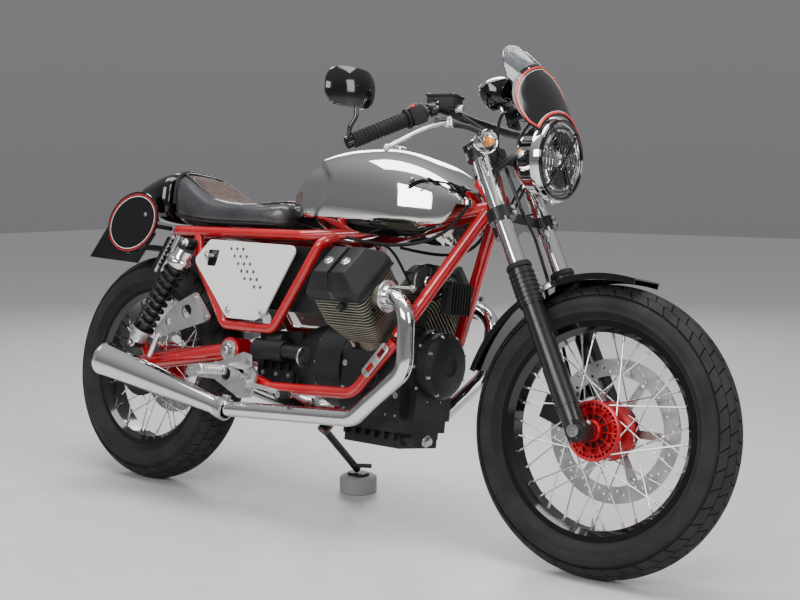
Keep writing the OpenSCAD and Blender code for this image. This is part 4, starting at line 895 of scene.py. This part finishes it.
frameTrim = Part()
for side in (-1, 1):
    frameTrim.cyl((-316, side * 129, 396), (-316, side * 136, 396), 27, seg=40, finish="alloy", bevel=2)
    frameTrim.cyl((-316, side * 135, 396), (-316, side * 145, 396), 19, seg=6, finish="steel", bevel=1.2)
    frameTrim.cyl((-316, side * 143, 396), (-316, side * 147, 396), 10, 8, seg=24, finish="chrome", bevel=1)
    # slotted alloy insert bolted to the lower rail
    a, b = Vector((229, side * 124, 464)), Vector((120, side * 130, 330))
    c = a.lerp(b, 0.36) + Vector((0, side * 17.4, 0))
    lay = frameAt(c, (0, side, 0), a - b)
    for k in (-1, 1):
        frameTrim.cyl(lay @ Vector((42 * k, 0, 0)), lay @ Vector((42 * k, 0, 4.5)), 6, seg=6, finish="steel")
        frameTrim.plate(lay @ Matrix.Translation((24 * k, 0, -5.5)),
                        [(-10, -3.4), (10, -3.4), (10, 3.4), (-10, 3.4)], 2, "blackPaint")
    frameTrim.plate(lay @ Matrix.Translation((0, 0, -0.6)), [(-48, -8), (-43, -13), (43, -13), (48, -8),
                    (48, -7), (-48, -7)], 1.6, "alloy", 0.3)
    frameTrim.plate(lay @ Matrix.Translation((0, 0, -0.6)), [(-48, 7), (48, 7), (48, 8), (43, 13), (-43, 13),
                    (-48, 8)], 1.6, "alloy", 0.3)
    for x, half in ((0, 11), (-42, 6), (42, 6)):
        frameTrim.plate(lay @ Matrix.Translation((x, 0, -0.6)),
                        [(-half, -7.5), (half, -7.5), (half, 7.5), (-half, 7.5)], 1.6, "alloy", 0.3)
    # side panel screws and their cups
    for x, z in ((-196, 500), (-320, 500), (-420, 640)):
        y = side * 147
        frameTrim.cyl((x, y - side, z), (x, y + side * 1.6, z), 9, seg=28, finish="alloy", bevel=0.6)
        frameTrim.cyl((x, y + side * 1, z), (x, y + side * 4.4, z), 5.4, 4.4, seg=20, finish="chrome",
                      bevel=0.8)
    # bolts of the silencer bracket and the rearset plate
    for x, z in ((-438, 522), (-388, 474), (-572, 415)):
        frameTrim.bolt((x, side * 155, z), (0, side, 0), 6, 5, "steel")
    for x, z in ((-424, 334), (-352, 341), (-206, 338), (-250, 372)):
        frameTrim.bolt((x, side * 158, z), (0, side, 0), 5.5, 5, "steel")
    # knurled peg, its end caps, pedal pad and linkage
    for k in range(8):
        y = side * (172 + 9 * k)
        frameTrim.lathe(frameAt((-300, y, 345), (0, side, 0)), [(11.2, 0), (12.8, 1), (12.8, 5), (11.2, 6)],
                        28, "alloy")
    frameTrim.cyl((-300, side * 242, 345), (-300, side * 247, 345), 14, 12, seg=32, finish="alloy", bevel=1.2)
    frameTrim.cyl((-300, side * 158, 345), (-300, side * 168, 345), 15, 13, seg=32, finish="alloy", bevel=1.2)
    for k in range(5):
        frameTrim.lathe(frameAt((-58, side * (163 + 8 * k), 306), (0, side, 0)),
                        [(8, 0), (9.6, 1), (9.6, 5), (8, 6)],
                        24, "gripRubber")
    frameTrim.tube([(-210, side * 166, 332), (-250, side * 166, 356), (-330, side * 160, 362)], 3.4,
                   sides=10, finish="steel")
    frameTrim.cyl((-216, side * 160, 332), (-216, side * 172, 332), 7, seg=24, finish="alloy", bevel=1)
    heel = [(-286, 372), (-226, 398), (-196, 392), (-190, 366), (-214, 352), (-268, 356)]
    frameTrim.plate(Matrix.Translation((0, side * 163, 0)) @ Matrix.Rotation(math.radians(90), 4, "X"),
                    heel, 3, "alloy", 0.6)
    frameTrim.bolt((-206, side * (163 if side > 0 else 166), 376), (0, side, 0), 4.4, 4, "steel")
frameTrim.done("frameTrim", "root", "alloy")
print("frame detail made")

# headlamp and fly-screen
lampAt = Vector((553, 0, 912))
lampLay = Matrix.Translation(lampAt) @ Matrix.Rotation(math.radians(90), 4, "Y")
lamp = {"guard": 88, "wire": 2.6,
        "shell": [(0, -108), (30, -104), (58, -88), (78, -60), (89, -24), (91, -22)],
        "bezel": [(91, -24), (96, -21), (97, -6), (93.5, 1), (86, 3.2), (81.5, 1), (81.5, -6)],
        "bowl": [(82, -7), (76, -20), (60, -38), (38, -52), (14, -60), (0, -61)],
        "lens": [(82, -3), (78, 0.6), (60, 3.8), (30, 6.2), (0, 7)]}
lampPart = Part()
lampPart.lathe(lampLay, lamp["shell"], 96, "chrome")
lampPart.lathe(lampLay, lamp["bezel"], 96, "chrome")
lampPart.lathe(lampLay, lamp["bowl"], 72, "chrome")
lampPart.cyl(lampAt + Vector((-60, 0, 0)), lampAt + Vector((-34, 0, 0)), 9, 7, seg=24, finish="dialWhite",
             bevel=2)
lampPart.lathe(lampLay, [(83.5, 1), (84, 5), (88, 7.5), (91.6, 6), (92.6, 2), (90, 0)], 96, "blackGloss",
               close=True)
for a in (52, -52):  # crossed bars over the lens
    c, s = math.cos(math.radians(a)), math.sin(math.radians(a))
    path = [(0, lamp["guard"] * t * c, lamp["guard"] * t * s) for t in (-1, -0.6, -0.2, 0.2, 0.6, 1)]
    path = [lampAt + Vector((6 + 5.5 * (1 - (abs(y / (lamp["guard"] * (c or 1)))) ** 2), y, z)) for x, y,
            z in path]
    lampPart.tube(path, lamp["wire"], sides=10, finish="blackGloss")
for side in (-1, 1):
    lampPart.cyl(lampAt + Vector((-50, side * 78, 0)), lampAt + Vector((-50, side * 92, 0)), 13, 12, seg=32,
                 finish="blackPaint", bevel=1)
    lampPart.bolt(lampAt + Vector((-50, side * 92, 0)), (0, side, 0), 7, 5, "chrome")
    lampPart.tube([lampAt + Vector((-50, side * 88, 0)), (470, side * 96, 896), (440, side * 92, 872)], 8,
                  sides=14,
                  finish="blackPaint")
lampPart.bolt(lampAt + Vector((-10, 0, -97)), (0, 0, -1), 4, 4, "chrome")
lampPart.done("headlampBody", "fork", "chrome", ("headlamp",), angle=45)
lensPart = Part()
lensPart.lathe(lampLay, lamp["lens"] + [(0, 3.6), (30, 2.8), (60, 0.4), (76, -2.6)], 96, "lens")
lensPart.done("headlampLens", "fork", "lamp")
flutes = Part()
for k in range(-6, 7):  # fluted pattern moulded inside the lens
    y = k * 11.5
    reach = math.sqrt(max(0, 76 ** 2 - y * y))
    flutes.tube([lampAt + Vector((-3.5, y, -reach)), lampAt + Vector((-1.6, y, 0)),
                 lampAt + Vector((-3.5, y, reach))], 1.5, sides=8, finish="lens")
flutes.done("headlampFlutes", "fork", "lamp")

screenShape = {
    "z": (959, 1027, 1090, 1137, 1183), "x": (580, 544, 507, 467, 410), "bow": 0.0034,
    "at": (27.6, 36, 48, 65, 90), "edge": (108, 148, 179, 205, 225),
    "clearAt": (56, 66, 78, 90), "clearEdge": (204, 240, 264, 271), "arch": 102,
}


def onScreen(r, deg, back=0.0):
    y, z = r * math.cos(math.radians(deg)), lampAt.z + r * math.sin(math.radians(deg))
    return Vector((curveAt(screenShape["z"], screenShape["x"], z) - screenShape["bow"] * y * y - back, y, z))


def edgeRadius(keys, deg):
    return curveAt(screenShape[keys[0]], screenShape[keys[1]], min(deg, 180 - deg))


def screenSheet(start, inner, outer, back, thick, around, across, finish):
    part, bm = Part(), bmesh.new()
    bmesh.ops.create_grid(bm, x_segments=around, y_segments=across, size=0.5)
    for v in bm.verts:
        deg = start + (180 - 2 * start) * (v.co.x + 0.5)
        r0, r1 = inner(deg), outer(deg)
        v.co = onScreen(r0 + (r1 - r0) * (v.co.y + 0.5), deg, back)
    bm.normal_update()
    if sum(f.normal.x for f in bm.faces) > 0:
        bmesh.ops.reverse_faces(bm, faces=bm.faces)
        bm.normal_update()
    bmesh.ops.solidify(bm, geom=list(bm.faces), thickness=-thick)
    return part.take(bm, finish)


def blade(deg):
    return edgeRadius(("at", "edge"), deg)


def clearTop(deg):
    return edgeRadius(("clearAt", "clearEdge"), deg)


shell = screenSheet(28.4, lambda d: screenShape["arch"], blade, 0, 3, 72, 16, "blackGloss")
for width, inset, finish in ((4.6, 8, "stripeRed"), (1.6, 12.4, "creamStripe")):
    steps = [28.4 + 4.5 + (180 - 2 * 32.9) * k / 60 for k in range(61)]
    loop = [onScreen(blade(d) - inset, d, -0.8) for d in steps]
    loop += [onScreen(screenShape["arch"] + inset * 0.72, d, -0.8) for d in reversed(steps)]
    shell.tube(loop + [loop[0]], width * 0.55, sides=8, finish=finish, smooth=False)
for d in (60, 120, 75, 105):
    p = onScreen(blade(d) - 5.5, d, -1)
    shell.cyl(p, p + Vector((2.4, 0, 0.8)), 3.4, 2.8, seg=20, finish="chrome", bevel=0.5)
for side in (-1, 1):
    shell.tube([onScreen(128, 90 - side * 42, 4), (470, side * 60, 1000), (440, side * 60, 985)], 4, sides=12,
               finish="blackPaint")
shell.done("flyScreen", "fork", "black_gloss", ("fly_screen",), angle=50)
clear = screenSheet(56.5, lambda d: blade(d) - 12, clearTop, 4, 3, 48, 12, "screenClear")
clear.done("clearScreen", "fork", "lamp", angle=50)
print("lamp and screen made")

# gauges, indicators, controls
dials = Part()
gaugeUp = Vector((-0.42, 0, 0.9)).normalized()
for side in (-1, 1):
    lay = frameAt((402, side * 60, 1064), gaugeUp, (1, 0, 0))
    dials.lathe(lay, [(0, -46), (22, -42), (34, -30), (40, -10), (41, 8)], 72, "blackGloss")
    dials.lathe(lay, [(41, 7), (42.5, 8), (42.5, 13), (40, 16), (36.5, 15), (36, 10)], 72, "chrome")
    dials.lathe(lay, [(36.4, 9.2), (0, 9.2)], 64, "dialFace")
    dials.lathe(lay, [(36.2, 12.6), (20, 13.4), (0, 13.7)], 64, "screenClear")
    for k in range(21):
        a = math.radians(-30 + 12 * k)
        r0 = 26 if k % 2 == 0 else 29.5
        p, q = (lay @ Vector((r * math.sin(a - 1.57), r * math.cos(a - 1.57), 9.8)) for r in (r0, 33))
        dials.cyl(p, q, 0.9 if k % 2 == 0 else 0.55, seg=6, finish="dialWhite")
    needle = math.radians(205)
    dials.cyl(lay @ Vector((0, 0, 11)), lay @ Vector((26 * math.sin(needle), 26 * math.cos(needle), 11)),
              1.4, 0.6,
              seg=8, finish="buttonRed")
    dials.cyl(lay @ Vector((0, 0, 9)), lay @ Vector((0, 0, 12.2)), 5, 4.4, seg=28, finish="blackGloss",
              bevel=0.6)
    dials.cyl(lay @ Vector((0, 0, -58)), lay @ Vector((0, 0, -44)), 7, 9, seg=24, finish="chrome", bevel=1)
    dials.tube([lay @ Vector((0, 0, -56)), (398, side * 50, 985), (404, side * 34, 940),
                (408, side * 40, 900)], 4,
               sides=12, finish="cableSheath")
dials.box(frameAt((402, 0, 1040), gaugeUp, (1, 0, 0)), (26, 150, 5), "alloy", 1.5)
dials.box(frameAt((410, 0, 1012), gaugeUp, (1, 0, 0)), (10, 44, 56), "blackPaint", 2)
dials.done("gaugeSet", "fork", "chrome", ("gauges",), angle=40)

signal = Part()
for side in (-1, 1):
    lay = frameAt((452, side * 150, 929), (1, 0, 0.05), (0, 0, 1))
    signal.lathe(lay, [(0, -31), (14, -28), (24, -15), (27.6, 1), (28, 6), (25, 7), (24, 2), (0, 0)], 56,
                 "chrome")
    signal.lathe(lay, [(25, 4), (24.6, 10), (17, 19), (8, 22.6), (0, 23.2)], 56, "lens")
    signal.cyl(lay @ Vector((0, 0, 1)), lay @ Vector((0, 0, 11)), 8, 6, seg=24, finish="amber", bevel=2)
    signal.tube([(446, side * 128, 927), (436, side * 118, 925), (424, side * 112, 922)], 6, sides=14,
                finish="blackPaint")
    signal.cyl((440, side * 122, 926), (446, side * 128, 927), 10, 9, seg=28, finish="chrome", bevel=1)
signal.tube([(440, -136, 912), (448, -132, 880), (462, -120, 838), (474, -110, 790), (470, -92, 758),
             (456, -70, 742)],
            3.4, sides=12, finish="paleSheath")
signal.tube([(440, 136, 912), (446, 132, 880), (458, 118, 838), (452, 96, 800), (430, 60, 790)], 3.0,
            sides=12,
            finish="cableSheath")
signal.done("indicatorSet", "fork", "lamp", ("indicators",), angle=40)

grip = {"in": Vector((302, 254, 963)), "out": Vector((238, 353, 898)), "radius": 16.2, "ribs": 15}
controls = Part()
for side in (-1, 1):
    def flip(p):
        return Vector((p[0], p[1] * side, p[2]))
    a, b = flip(grip["in"]), flip(grip["out"])
    d = (b - a).normalized()
    controls.cyl(a, b + d * 3, grip["radius"], seg=36, finish="gripRubber", bevel=1.5)
    for k in range(grip["ribs"]):
        p = a + (b - a) * (k + 0.7) / grip["ribs"]
        controls.lathe(frameAt(p, d), [(16, 0), (17.6, 1), (17.6, 4), (16, 5)], 36, "gripRubber")
    controls.cyl(a - d * 3, a + d * 2.4, 23, seg=40, finish="gripRubber", bevel=1.5)
    controls.cyl(b + d * 2, b + d * 4.4, 13, 11, seg=32, finish="chrome", bevel=1)
    # switch housing with its screws and button
    lay = frameAt(a - d * 24, d, (0, 0, 1))
    controls.box(lay, (44, 36, 36), "blackPlastic", 6)
    controls.cyl(a - d * 46, a - d * 40, 18, seg=36, finish="blackPlastic", bevel=1.5)
    controls.cyl(lay @ Vector((20, -9, 6)), lay @ Vector((26, -9, 6)), 7, 6.4, seg=24,
                 finish="buttonRed" if side < 0 else "dialWhite", bevel=1)
    controls.box(lay @ Matrix.Translation((22, 8, -6)), (5, 8, 16), "blackGloss", 1.5)
    for z in (-11, 11):
        controls.cyl(lay @ Vector((-22.5, 0, z)), lay @ Vector((-20, 0, z)), 3.2, seg=16, finish="chrome")
    # lever, its perch and clamp
    root, tip = flip((372, 190, 966)), flip((318, 335, 884))
    mid = flip((352, 262, 940))
    controls.tube([root, root.lerp(mid, 0.5) + Vector((4, 0, 0)), mid,
                   mid.lerp(tip, 0.6) + Vector((3, 0, -1)), tip],
                  5.4, sides=16, finish="alloy")
    bm = bmesh.new()
    bmesh.ops.create_uvsphere(bm, u_segments=24, v_segments=16, radius=8.6, matrix=Matrix.Translation(tip))
    controls.take(bm, "alloy")
    controls.cyl(root + Vector((-2, side, 0)), root + Vector((-30, side * 12, 0)), 10, 11, seg=28,
                 finish="blackPaint",
                 bevel=1.5)
    controls.bolt(root + Vector((0, 0, 9)), (0, 0, 1), 5.5, 5, "steel")
    controls.cyl(root + Vector((0, 0, -10)), root + Vector((0, 0, 9)), 11, 10, seg=32, finish="alloy",
                 bevel=1.2)
    controls.cyl(a - d * 70 + Vector((2, 0, 0)), a - d * 54 + Vector((2, 0, 0)), 16.5, seg=36,
                 finish="blackPaint", bevel=1.5)
    controls.bolt((a - d * 62) + Vector((16, 0, 4)), (1, 0, 0.2), 4, 4, "steel")
reservoir = Matrix.Translation((350, -186, 1008)) @ Matrix.Rotation(math.radians(8), 4, "Z")
controls.box(reservoir @ Matrix.Translation((0, 0, 3)), (70, 42, 27), "blackPlastic", 4, (1.04, 1.04))
controls.box(reservoir @ Matrix.Translation((0, 0, 18)), (76, 48, 6), "blackPlastic", 2)
controls.box(reservoir @ Matrix.Translation((0, 0, 21)), (56, 32, 2), "blackPlastic", 0.8)
for sx in (-1, 1):
    for sy in (-1, 1):
        controls.cyl(reservoir @ Vector((31 * sx, 17 * sy, 20)),
                     reservoir @ Vector((31 * sx, 17 * sy, 22.4)), 3.2, seg=18,
                     finish="chrome", bevel=0.5)
controls.cyl(reservoir @ Vector((-10, -20, 2)), reservoir @ Vector((-10, -23.4, 2)), 8, seg=28,
             finish="lens", bevel=0.6)
controls.cyl(reservoir @ Vector((30, 4, -8)), reservoir @ Vector((48, 4, -8)), 9, 7.5, seg=24,
             finish="alloy", bevel=1)
controls.done("handControls", "fork", "rubber", ("hand_controls",), angle=40)

mirror = {"halfWidth": 58, "halfHeight": 37, "squareness": 0.62, "points": 48}
outline = []
for k in range(mirror["points"]):
    a = math.tau * k / mirror["points"]
    outline.append((mirror["halfWidth"] * signedPower(math.cos(a), mirror["squareness"]),
                    mirror["halfHeight"] * signedPower(math.sin(a), mirror["squareness"])))
glassPart = Part()
for side in (-1, 1):
    lay = frameAt((250, side * 388, 1008), (1, side * 0.32, 0.04), (0, 1, 0))
    glassPart.plate(lay @ Matrix.Translation((0, 0, -15)), outline, 1.4, "tankChrome", 0.4)
    glassPart.cyl((250, side * 380, 996), (256, side * 378, 972), 9, 7, seg=24, finish="blackPaint", bevel=1)
glassPart.done("mirrorGlass", "fork", "chrome")

# cables, fork and brake detail
cables = Part()
for side, path in (
        (-1, [(350, -168, 962), (400, -150, 966), (436, -110, 940), (428, -60, 880), (414, -46, 846),
              (400, -42, 806)]),
        (-1, [(344, -196, 958), (394, -176, 974), (440, -126, 950), (436, -78, 900), (424, -54, 850),
              (408, -50, 798)]),
        (1, [(350, 176, 962), (402, 150, 962), (438, 108, 934), (430, 58, 884), (414, 46, 846),
             (400, 42, 806)]),
        (1, [(366, 190, 958), (412, 160, 974), (446, 120, 944), (440, 74, 896), (424, 54, 850),
             (408, 50, 800)])):
    cables.tube(path, 3.1 if path[0][0] > 345 else 3.8, sides=12, finish="cableSheath")
cables.done("controlCables", "fork", "rubber")

forkTrim = Part()
lay = forkMatrix()
for side in (-1, 1):
    for w, t in ((505, 28), (668, 20)):  # pinch bolts in the yokes
        for off in ((8,) if t < 24 else (7, 21)):
            p = lay @ Vector((-8 + 31.5, side * 84, w + off))
            forkTrim.bolt(p, lay.to_3x3() @ Vector((1, 0, 0)), 4.6, 5, "steel")
    forkTrim.cyl(lay @ Vector((-8, side * 92.5, 706)), lay @ Vector((-8, side * 92.5, 714)), 17, 15, seg=6,
                 finish="chrome", bevel=1)
    forkTrim.cyl(lay @ Vector((-8, side * 92.5, 700)), lay @ Vector((-8, side * 92.5, 707)), 20.6, seg=48,
                 finish="blackPaint", bevel=1)
    forkTrim.lathe(lay @ Matrix.Translation((-8, side * 92.5, 0)),
                   [(20.3, 388), (28.4, 384), (29, 390), (27, 396),
                   (20.3, 398)], 48, "gripRubber", close=True)
    # bracket of the front guard
    forkTrim.box(lay @ Matrix.Translation((-8, side * 61, 352)), (40, 5, 46), "alloy", 1.6, (0.6, 1))
    forkTrim.box(lay @ Matrix.Translation((4, side * 60, 330)), (62, 4, 12), "alloy", 1.4)
    for x in (-22, 6):
        forkTrim.bolt(lay @ Vector((x, side * 63.5, 340)), (0, side, 0), 4, 4, "steel")
    forkTrim.bolt(lay @ Vector((0, side * 115.5, 0)), (0, side, 0), 9, 6, "steel")
    forkTrim.bolt(lay @ Vector((26, side * 92.5, 8)), lay.to_3x3() @ Vector((1, 0, 0)), 4, 4, "steel")
for k in (-1, 1):
    a = math.radians(163)
    spin = Matrix.Translation((724.5, 63, 318.6)) @ Matrix.Rotation(-a, 4, "Y")
    face = spin @ Vector((140, 31, 20 * k))
    forkTrim.cyl(face, face + Vector((0, 3, 0)), 12, 11, seg=32, finish="steel", bevel=0.8)
    forkTrim.bolt(spin @ Vector((170, 22, 34 * k)), (0, 1, 0), 5, 5, "steel")
forkTrim.done("forkTrim", "fork", "steel")

# number plate holder and tail lamp
tailTrim = Part()
plateLay = frameAt((-956, 0, 666), (-0.8, 0, 0.6), (0, 1, 0))
tailTrim.box(plateLay @ Matrix.Translation((0, 0, 2)), (172, 110, 1.6), "whitePaint", 0.6)
for s in (-1, 1):
    tailTrim.cyl(plateLay @ Vector((62 * s, 44, 2)), plateLay @ Vector((62 * s, 44, 5)), 4, seg=18,
                 finish="steel", bevel=0.6)
light = frameAt((-903, 0, 730), (-1, 0, 0.1), (0, 1, 0))
tailTrim.box(light @ Matrix.Translation((0, 0, 14)), (84, 30, 10), "tailRed", 3)
tailTrim.done("tailTrim", "root", "black_plastic")
print("controls and trim made")

# floor, light and camera
floorMesh = bpy.data.meshes.new("floor")
bm = bmesh.new()
bmesh.ops.create_grid(bm, x_segments=1, y_segments=1, size=14.0)
bm.to_mesh(floorMesh)
bm.free()
floor = bpy.data.objects.new("floor", floorMesh)
floorMesh.materials.append(makeFinish("floorPale", (0.62, 0.62, 0.61), second=(0.58, 0.58, 0.57),
                                      rough=(0.35, 0.5)))
bpy.context.scene.collection.objects.link(floor)

lights = {
    "top": ((0.2, -0.4, 3.4), (0.0, 0.0, 0.5), (4.2, 1.6), 150),
    "right": ((0.6, -4.2, 2.3), (0.1, 0.0, 0.55), (3.2, 1.3), 115),
    "front": ((3.8, -0.6, 1.9), (0.4, 0.0, 0.6), (1.4, 2.0), 60),
    "back": ((-2.6, 3.2, 2.4), (0.0, 0.0, 0.6), (2.4, 1.4), 70),
}
for name, (at, to, size, power) in lights.items():
    panel = bpy.data.lights.new(name, "AREA")
    panel.shape = "RECTANGLE"
    panel.size, panel.size_y = size
    panel.energy = power
    holder = bpy.data.objects.new(name, panel)
    holder.location = at
    holder.rotation_euler = (Vector(to) - Vector(at)).to_track_quat("-Z", "Y").to_euler()
    bpy.context.scene.collection.objects.link(holder)

world = bpy.data.worlds.new("studio")
bpy.context.scene.world = world
world.use_nodes = True
sky = world.node_tree
ramp = sky.nodes.new("ShaderNodeValToRGB")
axis = sky.nodes.new("ShaderNodeSeparateXYZ")
where = sky.nodes.new("ShaderNodeTexCoord")
span = sky.nodes.new("ShaderNodeMapRange")
span.inputs["From Min"].default_value = -1
sky.links.new(where.outputs["Generated"], axis.inputs["Vector"])
sky.links.new(axis.outputs["Z"], span.inputs["Value"])
sky.links.new(span.outputs["Result"], ramp.inputs["Fac"])
sky.links.new(ramp.outputs["Color"], sky.nodes["Background"].inputs["Color"])
sky.nodes["Background"].inputs["Strength"].default_value = 0.6
stops = ramp.color_ramp.elements
stops[0].position, stops[0].color = 0.48, (0.30, 0.30, 0.31, 1)
stops[1].position, stops[1].color = 1.0, (0.95, 0.95, 0.95, 1)
middle = stops.new(0.62)
middle.color = (0.36, 0.36, 0.38, 1)

camera = bpy.data.objects.new("camera", bpy.data.cameras.new("camera"))
camera.data.sensor_width = 36.0
camera.data.lens = 56.31
camera.location = (2.0617, -2.4699, 0.870)
camera.rotation_euler = (math.radians(84.25), 0, math.radians(38.82))
bpy.context.scene.collection.objects.link(camera)
bpy.context.scene.camera = camera

print("scene ready")
